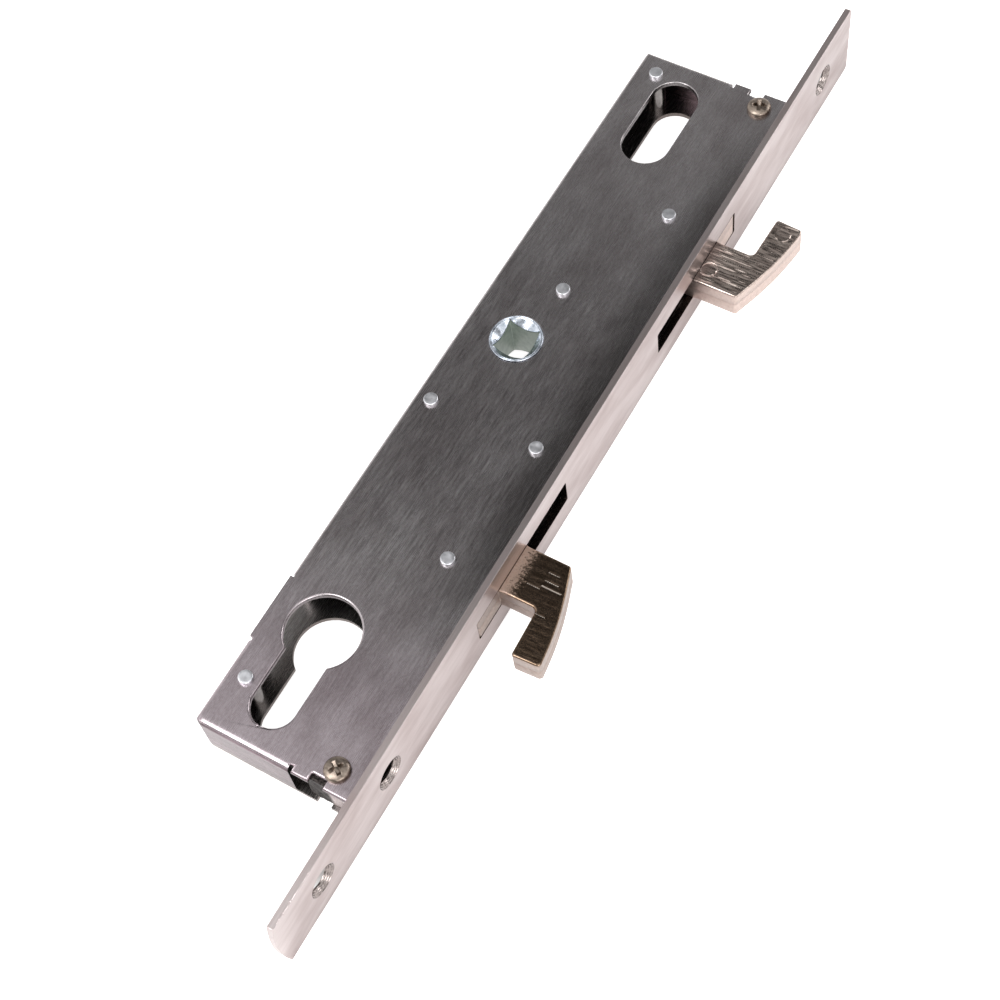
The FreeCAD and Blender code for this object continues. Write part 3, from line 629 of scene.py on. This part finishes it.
def inside(points, outline):
    """True for points inside a closed outline: a ray along X crosses it an odd number of times."""
    start, end = outline, np.roll(outline, -1, 0)
    x, y = points[:, :1], points[:, 1:]
    spans = (start[:, 1] > y) != (end[:, 1] > y)
    rise = np.where(end[:, 1] == start[:, 1], 1e-12, end[:, 1] - start[:, 1])
    crossing = start[:, 0] + (y - start[:, 1]) / rise * (end[:, 0] - start[:, 0])
    return (spans & (x < crossing)).sum(1) % 2 == 1


def distance_to(points, others):
    """Distance from each point to the nearest of the others."""
    return np.array([np.sqrt(((others - p) ** 2).sum(1).min()) for p in points])


def circle(centre, radius, count):
    """Points round a circle."""
    angle = np.linspace(0, 2 * math.pi, count, endpoint=False)
    return np.stack([centre[0] + radius * np.cos(angle), centre[1] + radius * np.sin(angle)], -1)


def filled(outline, hole, extra, step):
    """Triangles that fill an outline round one hole, with a grid of points inside; also rim distances."""
    low, high = outline.min(0), outline.max(0)
    x, y = np.meshgrid(np.arange(low[0], high[0], step[0]), np.arange(low[1], high[1], step[1]))
    x = x + (np.arange(len(x)) % 2)[:, None] * step[0] / 2
    grid = np.stack([x.ravel(), y.ravel()], -1)
    rims = np.vstack([outline, hole])
    clear = 0.1 * MM
    if len(extra):
        extra = extra[inside(extra, outline)]
        extra = extra[distance_to(extra, rims) > clear]
        grid = grid[distance_to(grid, extra) > clear]
    grid = grid[inside(grid, outline) & ~inside(grid, hole)]
    grid = grid[distance_to(grid, rims) > 1.1 * clear]
    points = np.vstack([rims, extra, grid]) if len(extra) else np.vstack([rims, grid])
    n, m = len(outline), len(hole)
    edges = [(i, (i + 1) % n) for i in range(n)] + [(n + i, n + (i + 1) % m) for i in range(m)]
    made = delaunay_2d_cdt([Vector(p) for p in points / MM], edges, [], 1, 1e-6)
    places = np.array([tuple(v) for v in made[0]]) * MM
    faces = np.array([tuple(f) for f in made[2]])
    middle = places[faces].mean(1)
    return places, faces[~inside(middle, hole)], distance_to(places, rims)


def wave_noise(x, y, scale_x, scale_y, seed):
    """Smooth seeded noise between about -1 and 1: a sum of sine waves with random directions."""
    draw = np.random.default_rng(seed)
    count = 60
    kx = draw.normal(0, 1 / scale_x, count)
    ky = draw.normal(0, 1 / scale_y, count)
    phase = draw.uniform(0, 2 * math.pi, count)
    waves = np.sin(x[..., None] * kx + y[..., None] * ky + phase)
    return waves.sum(-1) / math.sqrt(count / 2)


def hook_outline():
    """The hook's outline about its pivot, tip towards +Y."""
    corners = [
        (HOOK_SHOULDER, STEM_OUTER_EDGE, 0.8 * MM),
        (HOOK_BELLY, STEM_INNER_EDGE, 80 * MM),
        (HOOK_REACH, TIP_HEIGHT, 1.0 * MM),
        (HOOK_THROAT + 0.4 * MM, TIP_HEIGHT + 0.4 * MM, 0.8 * MM),
        (HOOK_THROAT, STEM_INNER_EDGE, 1.3 * MM),
        (HEEL_FRONT, STEM_INNER_EDGE, 0.15 * MM),
        (HEEL_FRONT, HEEL_TOP, 0.6 * MM),
        (PIVOT_RADIUS, HEEL_TOP, 2.0 * MM),
        (-TAIL_REACH, TAIL_REACH / 2, 2.5 * MM),
        (-TAIL_REACH - TAIL_WALL, -TAIL_REACH, 2.5 * MM),
        (-TAIL_REACH, -TAIL_REACH - TAIL_WALL, 2.5 * MM),
        (PIVOT_RADIUS, STEM_OUTER_EDGE, 2.5 * MM),
    ]
    return rounded_outline(corners, 0.2 * MM)


def hook_face(x, y, rim, seed, rings):
    """Relief of a hook's cast face, in metres, all below its plane: striations along X, and either ejector
    rings or scrapes."""
    streaks = wave_noise(x, y, 3.6 * MM, 0.2 * MM, seed) + 0.7 * wave_noise(x, y, 1.5 * MM, 0.4 * MM, seed + 1)
    out = np.clip((x - STREAKS_FROM) / (3.0 * MM), 0, 1)
    if rings:
        relief = -CAST_DEPTH * np.clip(0.5 + 0.35 * streaks, 0, 1.2) * (0.15 + 0.85 * out)
        for centre in EJECTOR_PLACES:
            off = np.hypot(x - centre[0], y - centre[1])
            ring = np.exp(-((off - EJECTOR_RADIUS) / EJECTOR_LINE) ** 2)
            inner = np.clip((EJECTOR_RADIUS - off) / (0.15 * MM), 0, 1)
            relief = relief * (1 - 0.6 * inner) - RING_DEPTH * ring - DISC_DEPTH * inner
    else:
        relief = -POLISHED_DEPTH * np.clip(streaks, 0, 1) * out
        for start, end, height in np.array(SCRAPES) * MM:
            along = np.clip((x - start) / (0.4 * MM), 0, 1) * np.clip((end - x) / (0.4 * MM), 0, 1)
            relief -= SCRAPE_DEPTH * along * np.exp(-((y - height) / SCRAPE_SPREAD) ** 2)
    return relief * np.clip(rim / RIM_FADE, 0, 1)


def hook_wall(outline, inward, edge):
    """A hook's side: its outline carried along Z, rounded by edge into both faces, with a parting groove."""
    turn = np.radians(np.linspace(0, 90, 6))
    wall = [(edge * (1 - math.cos(t)), HOOK_HALF - edge * (1 - math.sin(t))) for t in turn]
    groove = [(np.full(len(edge), i * MM), np.full(len(edge), z * MM)) for i, z in PARTING_GROOVE]
    profile = [(i, -z) for i, z in wall[::-1]] + groove[::-1] + wall
    stack = np.array([np.column_stack([outline + inward * i[:, None], z]) for i, z in profile])
    return stack, grid_faces(len(stack), len(outline))


def hook(name, node, mirror, material):
    """A cast hook: its wall, two faces with relief and a bore.  mirror is -1 for a tip towards -Y."""
    outline = hook_outline()
    inward = inward_normals(outline)
    past_heel = np.clip((outline[:, 0] - HEEL_FRONT - 0.3 * MM) / MM, 0, 1)
    edge = HEEL_EDGE + (HOOK_EDGE - HEEL_EDGE) * past_heel
    rim = outline + inward * edge[:, None]
    bore = circle((0, 0), PIVOT_RADIUS + PIVOT_GAP, 72)
    rings = np.vstack([circle(c, EJECTOR_RADIUS + d * MM, 60) for c in EJECTOR_PLACES
                       for d in (-0.3, -0.17, -0.08, 0, 0.08, 0.17, 0.3)])
    parts = [hook_wall(outline, inward, edge)]
    for sign, step, extra in ((1, (0.5 * MM, 0.14 * MM), rings), (-1, (0.8 * MM, 0.4 * MM), [])):
        plan, triangles, reach = filled(rim, bore, extra, step)
        relief = hook_face(plan[:, 0], plan[:, 1], reach, 3 if mirror > 0 else 8, mirror > 0 and sign > 0)
        parts.append((np.column_stack([plan, sign * (HOOK_HALF + relief)]), triangles.tolist()))
    tube = np.array([np.column_stack([bore, np.full(len(bore), z)]) for z in (-HOOK_HALF, HOOK_HALF)])
    parts.append((tube, grid_faces(2, len(bore))))
    points, faces = joined(parts)
    pivot = joint_place(node)
    points = points * [1, mirror, 1] + np.array([pivot[0], pivot[1], 0])
    return put_mesh(name, points, faces, material, node, "nickel_hook", (node,))


def cross_recess_screws(name, node, material, turns):
    """Two pan-head screws: domed heads with a tapering cross recess, over plain shanks."""
    corners = np.array([tuple(v.co) for v in frame["nodes"][node].data.vertices])
    centres = [corners[corners[:, 1] > 0].mean(0), corners[corners[:, 1] < 0].mean(0)]
    low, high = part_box(node)
    radius = (high.x - low.x) / 2
    r = np.concatenate([np.linspace(1e-6, 1.0, 24) * 1.9 * MM, np.linspace(2.05 * MM, radius, 10)])
    bow = np.sqrt(np.clip(1 - (r / radius) ** HEAD_POWER, 0, 1))
    dome = FACE_Z + (high.z - FACE_Z) * (HEAD_RIM + HEAD_RISE * bow)
    angle = np.linspace(0, 2 * math.pi, SCREW_SIDES, endpoint=False)
    x, y = r[:, None] * np.cos(angle), r[:, None] * np.sin(angle)
    below = [(radius, FACE_Z), (SCREW_SHANK, FACE_Z), (SCREW_SHANK, low.z), (ON_AXIS, low.z)]
    parts = []
    for centre, turn in zip(centres, turns):
        x0, y0 = (low.x + high.x) / 2, round(centre[1], 5)
        u = np.abs(x * math.cos(turn) + y * math.sin(turn)) / MM
        v = np.abs(y * math.cos(turn) - x * math.sin(turn)) / MM
        wings = [np.clip((WING_HALF - b) / WING_SLOPE, 0, 1) * np.clip(WING_REACH - a, 0, 1)
                 for a, b in ((u, v), (v, u))]
        z = dome[:, None] - RECESS_DEPTH * np.maximum(*wings)
        head = np.stack([x0 + x, y0 + y, z], -1)
        whole = np.concatenate([head, turned(below, (x0, y0), SCREW_SIDES)[0]])
        parts.append((whole, grid_faces(len(whole), SCREW_SIDES)))
    return put_mesh(name, *joined(parts), material, "case", "nickel_screw", (node,))


def rough_casting(name, node, material, body, seed):
    """Copy of a node remeshed finely, its skin pushed in unevenly like a raw casting."""
    mesh = frame["nodes"][node].data.copy()
    with edited(mesh) as bm:
        bmesh.ops.remove_doubles(bm, verts=bm.verts, dist=0.001 * MM)
    source = linked(bpy.data.objects.new(name + "_source", mesh))
    remesh = source.modifiers.new("voxels", "REMESH")
    remesh.mode = "VOXEL"
    remesh.voxel_size = LUG_VOXEL
    shape = bpy.data.meshes.new_from_object(source.evaluated_get(bpy.context.evaluated_depsgraph_get()))
    bpy.data.objects.remove(source)
    count = len(shape.vertices)
    place, normal = np.empty(count * 3), np.empty(count * 3)
    shape.vertices.foreach_get("co", place)
    shape.vertices.foreach_get("normal", normal)
    place, normal = place.reshape(-1, 3), normal.reshape(-1, 3)
    x, y, z = place.T
    lumps = wave_noise(x + z, y - 0.6 * z, LUG_GRAIN, LUG_GRAIN, seed)
    place -= normal * (LUG_DEPTH * np.clip(0.6 + 0.6 * lumps, 0, 2))[:, None]
    shape.vertices.foreach_set("co", place.ravel())
    shape.update()
    return finished(linked(bpy.data.objects.new(name, shape)), material, body, (node,))


def rivet_pillar(node, material, body_material, body_radius):
    """Turned pillar with two rivet ends, edges rounded, its front end slightly dished by the punch."""
    low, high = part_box(node)
    centre = ((low.x + high.x) / 2, (low.y + high.y) / 2)
    curve = RIVET_RADIUS - RIVET_EDGE
    rear = np.vstack([[(ON_AXIS, low.z)], arc((curve, low.z + RIVET_EDGE), RIVET_EDGE, -90, 0, 6)])
    middle = [(RIVET_RADIUS, -INNER_Z), (body_radius, -INNER_Z),
              (body_radius, INNER_Z), (RIVET_RADIUS, INNER_Z)]
    dish = [(radius, high.z - depth) for radius, depth in DISH]
    front = np.vstack([arc((curve, high.z - RIVET_EDGE), RIVET_EDGE, 0, 90, 6), dish])
    points, faces = turned(np.vstack([rear, middle, front]), centre, 64)
    pillar = put_mesh("riveted_" + node, points, faces, material, "case", "zinc_pillar", (node,))
    second_finish(pillar, body_material, lambda c, n: abs(c.z) < INNER_Z + 0.01 * MM)


def follower_hub(material, hole_material):
    """The follower: its ends get a rolled lip outside a turned groove, its square stays dull."""
    hub = softened("follower_hub", "spindle_follower", lambda place: HUB_EDGE, material, "follower")
    low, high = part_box("spindle_follower")
    centre = joint_place("follower")
    cutters = []
    for end in (low.z, high.z):
        ring = arc((GROOVE_RADIUS, end), GROOVE_DEPTH, 0, 360, 13)
        cutters.append(loose("groove_cutter", *turned(ring, centre, HUB_SIDES)))
    carved(hub, cutters)
    second_finish(hub, hole_material, lambda c, n: abs(n.z) < 0.3 and abs(c.x - centre[0]) < SQUARE_REACH
                  and abs(c.y - centre[1]) < SQUARE_REACH)
    for name, end, way in (("follower_lip_front", high.z, 1), ("follower_lip_rear", low.z, -1)):
        lip = arc((LIP_RADIUS, 0), LIP_THICKNESS, -20, 200, 12)
        lip = np.vstack([lip, lip[:1]])
        profile = np.column_stack([lip[:, 0], end + way * (lip[:, 1] - LIP_SUNK)])
        points, faces = turned(profile, centre, HUB_SIDES)
        put_mesh(name, points, faces, material, "follower", "zinc_follower")


def strip_edge(place):
    """Radius of the strip's edges: rolled round its outline, nearly sharp at its holes and slots."""
    at_side = abs(place.z) > FOREND_HIGH.z - 0.5 * MM
    at_end = not FOREND_LOW.y + STRIP_END < place.y < FOREND_HIGH.y - STRIP_END
    return STRIP_EDGE if at_side or at_end else STRIP_HOLE_EDGE


def nicked_strip(material, hole_material, slot_material_painted_shade):
    """The forend: rounded edges, small nicks near its lower end, and turned countersinks."""
    strip = softened("forend_strip", "forend", strip_edge, material, "case")
    cutters = []
    for y, radius, out in NICKS:
        points, faces = turned(arc((0, 0), radius, -90, 90, 9), (0, 0), 16)
        cutters.append(loose("nick_cutter", points + np.array([out, y, FOREND_HIGH.z + 0.1 * MM]), faces))
    carved(strip, cutters)
    holes = countersink_places()

    def from_hole(c):
        return min(math.hypot(c.y - y, c.z) for y in holes)

    second_finish(strip, hole_material, lambda c, n: abs(n.x) < 0.93 and from_hole(c) < CONE_REACH)
    # The slot walls get a dark finish: shear marks, painted dark as the shade in the slots.
    second_finish(strip, slot_material_painted_shade, lambda c, n: abs(n.x) < 0.5 and abs(c.z) < SLOT_HALF
                  and from_hole(c) > CONE_REACH and abs(c.y - SLOTS_MIDDLE) < SLOTS_REACH)


def countersink_places():
    """Heights of the strip's three countersunk holes, from the record's mounts."""
    mounts = {m["name"]: m for m in frame["record"]["mounts"]}
    fixing = mounts["forend_fixing_holes"]
    half = fixing["dims"]["spacing_x_mm"] / 2 * MM
    return (fixing["pos_m"][1] + half, fixing["pos_m"][1] - half, mounts["cylinder_screw_hole"]["pos_m"][1])


def floor(material):
    """Pale table top under the lock, at the forend's lower edge."""
    half, z = TABLE_HALF, FOREND_LOW.z
    mesh = bpy.data.meshes.new("table_top")
    corners = [(-half, -half, z), (half, -half, z), (half, half, z), (-half, half, z)]
    mesh.from_pydata(corners, [], [(0, 1, 2, 3)])
    mesh.materials.append(material)
    piece = linked(bpy.data.objects.new("table_top", mesh))


def table_paint(name):
    """Matt white table, lifted to white where the camera or a mirror sees it, with a painted shadow close under
    the lock.
    """
    material, tree = blank(name)
    path = add(tree, "ShaderNodeLightPath")
    seen = number(tree, "MAXIMUM", path.outputs["Is Camera Ray"], path.outputs["Is Transmission Ray"])
    mirrored = number(tree, "MULTIPLY", path.outputs["Is Glossy Ray"], 0.3)
    strength = number(tree, "ADD", number(tree, "MULTIPLY", seen, 0.85), mirrored)
    x, y, _ = object_place(tree)
    # Painted shadow under the lock: both the glow and the diffuse colour darken inside this patch.
    across = number(tree, "ABSOLUTE", number(tree, "SUBTRACT", x, PAINTED_SHADOW_X))
    along = number(tree, "ABSOLUTE", number(tree, "SUBTRACT", y, PAINTED_SHADOW_Y))
    clear = number(tree, "MAXIMUM", stepped(tree, across, *PAINTED_SHADOW_FADE_X, 0.0, 1.0),
                   stepped(tree, along, *PAINTED_SHADOW_FADE_Y, 0.0, 1.0))
    lift = number(tree, "ADD", number(tree, "MULTIPLY", clear, 0.85), 0.15)
    strength = number(tree, "MULTIPLY", strength, lift)
    shade = blended(tree, clear, linear("#5d5856"), linear("#e6e4e3"))
    diffuse = add(tree, "ShaderNodeBsdfDiffuse", {"Color": shade})
    glow = add(tree, "ShaderNodeEmission", {"Color": linear("#ffffff"), "Strength": strength})
    both = add(tree, "ShaderNodeAddShader", {0: diffuse.outputs[0], 1: glow.outputs[0]})
    add(tree, "ShaderNodeOutputMaterial", {"Surface": both.outputs[0]})
    return material


def squared_off(tree, value, centre, spread):
    """((value - centre) / spread) squared."""
    off = number(tree, "DIVIDE", number(tree, "SUBTRACT", value, centre), spread)
    return number(tree, "POWER", off, 2.0)


def studio_world():
    """Room above the table: light low down and towards -Y, with a dark camera stand; white behind the floor."""
    world = bpy.data.worlds.new("studio")
    bpy.context.scene.world = world
    world.use_nodes = True
    tree = world.node_tree
    tree.nodes.clear()
    direction = add(tree, "ShaderNodeTexCoord").outputs["Generated"]
    parts = add(tree, "ShaderNodeSeparateXYZ", {0: direction})
    x, y, z = (parts.outputs[k] for k in ("X", "Y", "Z"))
    near_side = stepped(tree, y, 0.16, 0.34, 1.25, 0.0)
    far_side = stepped(tree, y, 0.42, 0.6, 0.08, 0.46)
    low_down = stepped(tree, z, 0.05, 0.6, 0.9, 0.0)
    room = number(tree, "MAXIMUM", number(tree, "ADD", near_side, far_side), low_down)
    off = number(tree, "ADD", squared_off(tree, x, *STAND_X), squared_off(tree, y, *STAND_Y))
    stand = stepped(tree, off, 0.1, 1.3, 0.12, 1.0)
    horizon = stepped(tree, y, -0.93, -0.72, 0.25, 1.0)
    level = number(tree, "MULTIPLY", number(tree, "MULTIPLY", room, stand), horizon)
    seen = add(tree, "ShaderNodeLightPath").outputs["Is Camera Ray"]
    lit = add(tree, "ShaderNodeBackground", {"Color": linear("#ffffff"), "Strength": level})
    white = add(tree, "ShaderNodeBackground", {"Color": linear("#ffffff"), "Strength": 1.0})
    shown = add(tree, "ShaderNodeMixShader", {0: seen, 1: lit.outputs[0], 2: white.outputs[0]})
    add(tree, "ShaderNodeOutputWorld", {"Surface": shown.outputs[0]})


def softbox(name, place, size, watts):
    """White rectangular area lamp, size (across, along its own up), at a place, aimed at LAMP_AIM."""
    data = bpy.data.lights.new(name, "AREA")
    data.shape = "RECTANGLE"
    data.size, data.size_y = size
    data.energy = watts
    lamp = linked(bpy.data.objects.new(name, data))
    lamp.location = place
    lamp.rotation_euler = (Vector(LAMP_AIM) - Vector(place)).to_track_quat("-Z", "Y").to_euler()


def lights():
    """A long overhead lamp towards -Y that the bends mirror, and three soft lamps round the table."""
    softbox("overhead_lamp", (-0.34, -0.6, 0.8), (0.36, 0.9), 6.2)
    softbox("key_lamp", (0.75, -0.65, 0.55), (0.6, 0.6), 6.0)
    softbox("back_lamp", (0.55, 0.85, 0.5), (0.5, 0.5), 4.0)
    softbox("side_lamp", (0.7, 0.25, 0.65), (0.3, 0.3), 0.6)


def folded_case():
    """The case pan and its rear cover: brushed outside, darker inside, the end walls painted darker as shade over
    their fold streaks, with rounded back corners.
    """
    # The case face gets painted shade beside the strip and a painted pink reflection low down.
    face_steel = brushed_stainless_sheet("brushed_stainless_case", "#a8a4a5", "#b9b5b6", with_painted_shading=True)
    cover_steel = brushed_stainless_sheet("brushed_stainless_cover", "#8d8581", "#a79e99")
    # Darker tone inside the case.
    inner_steel = brushed_stainless_sheet("oiled_inner_steel", "#6c6967", "#9b9896")
    # End walls: the same sheet with fold streaks, painted much darker as shade.
    fold_steel_painted_shade = brushed_stainless_sheet("brushed_stainless_fold", "#41373b", "#a08f96", (16, 0.6, 0.6))

    def past_ends(y, margin):
        return not CASE_LOW.y + margin < y < CASE_HIGH.y - margin

    def on_inside(c, n):
        at_corner = c.x <= CASE_LOW.x + CORNER_REACH and past_ends(c.y, CORNER_REACH)
        outside = c.x <= CASE_LOW.x + 0.5 * MM or past_ends(c.y, 0.5 * MM)
        return abs(c.z) < INNER_Z + 0.02 * MM and not outside and not at_corner

    shell = softened("case_shell", "case_pan", punched_edge, face_steel, "case")
    carved(shell, [])
    crossed(shell.data, (CASE_LOW.x + CORNER_REACH, 0, 0), (1, 0, 0))
    for y in (CASE_LOW.y + CORNER_REACH, CASE_HIGH.y - CORNER_REACH):
        crossed(shell.data, (0, y, 0), (0, 1, 0))
    carved(shell, [corner_cutter(1), corner_cutter(-1)])
    second_finish(shell, inner_steel, on_inside)
    # The end walls get the fold finish with painted shade.
    second_finish(shell, fold_steel_painted_shade, lambda c, n: abs(n.y) > 0.8 and past_ends(c.y, 2 * MM))
    cover = softened("rear_sheet", "rear_cover", lambda place: 0.0, cover_steel, "case")
    carved(cover, [corner_cutter(1), corner_cutter(-1)])
    second_finish(cover, inner_steel, lambda c, n: n.z > 0.5)


def forend():
    """The forend strip with its own finishes."""
    nicked_strip(satin_stainless("satin_stainless_forend"), turned_countersink("turned_countersink_steel"),
                 # Slot walls: shear streaks along Z, painted dark as shade.
                 brushed_stainless_sheet("sheared_slot_wall", "#3f3733", "#6e635d", (0.3, 0.3, 2)))


def hooks():
    """Both hooks, the lower one darker and scraped."""
    nickel = cast_nickel("nickel_plated_upper_hook", ("#bba9a1", "#d3c3bc"), ("#8c7d76", "#cfc1b8"), 0.17, 0)
    dark_nickel = cast_nickel("nickel_plated_lower_hook", ("#93857e", "#b3a59e"), ("#665444", "#8e7a69"), 0.15,
                              0.8 * MM)
    scraped = nickel_plate("scraped_nickel", "#978c82", "#d6ccc2", 0.35, 0.5, 0.2 * MM)
    hook("upper_cast_hook", "upper_hook", 1, nickel)
    lower = hook("lower_cast_hook", "lower_hook", -1, dark_nickel)
    pivot = joint_place("lower_hook")
    second_finish(lower, scraped, lambda c, n: n.z > 0.7 and any(
        start < c.x - pivot[0] < end and abs(pivot[1] - c.y - height) < 0.09 * MM
        for start, end, height in np.array(SCRAPES) * MM))


def fixings():
    """Pillars, pivots, screws and lugs that hold the case together."""
    zinc = zinc_plate("zinc_plated_pillar", "#bfc0c4", "#e0e0e4", 0.28, 0.42)
    body = nickel_plate("turned_steel_pillar", "#8a8583", "#b7b2b0", 0.1, 0.2, 0.3 * MM)
    screw_nickel = nickel_plate("nickel_plated_screw", "#625850", "#a6988c", 0.24, 0.42, 0.2 * MM)
    lug_zinc = cast_zinc("raw_cast_zinc_lug")
    for node in RIVETED:
        rivet_pillar(node, zinc, body, PILLAR_RADIUS if node in PILLARS else PIVOT_RADIUS)
    cross_recess_screws("cross_recess_screws", "case_screws", screw_nickel, (0.35, 0.95))
    rough_casting("cast_forend_lug_top", "forend_lug_top", lug_zinc, "case", 4)
    rough_casting("cast_forend_lug_bottom", "forend_lug_bottom", lug_zinc, "case", 6)


def main():
    bpy.context.scene.view_settings.view_transform = "Standard"
    camera()
    studio_world()
    lights()
    floor(table_paint("white_table"))
    folded_case()
    forend()
    follower_hub(zinc_plate("bright_zinc_follower", "#98a0aa", "#d8dde6", 0.14, 0.3),
                 zinc_plate("dull_zinc_square_hole", "#b4bdb6", "#d4dbd4", 0.35, 0.5))
    hooks()
    fixings()
    slide_zinc = zinc_plate("zinc_plated_slide", "#8b8a86", "#b9b8b2", 0.3, 0.45)
    for node in CARRIED:
        mesh = frame["nodes"][node].data
        mesh.materials.clear()
        mesh.materials.append(slide_zinc)


main()
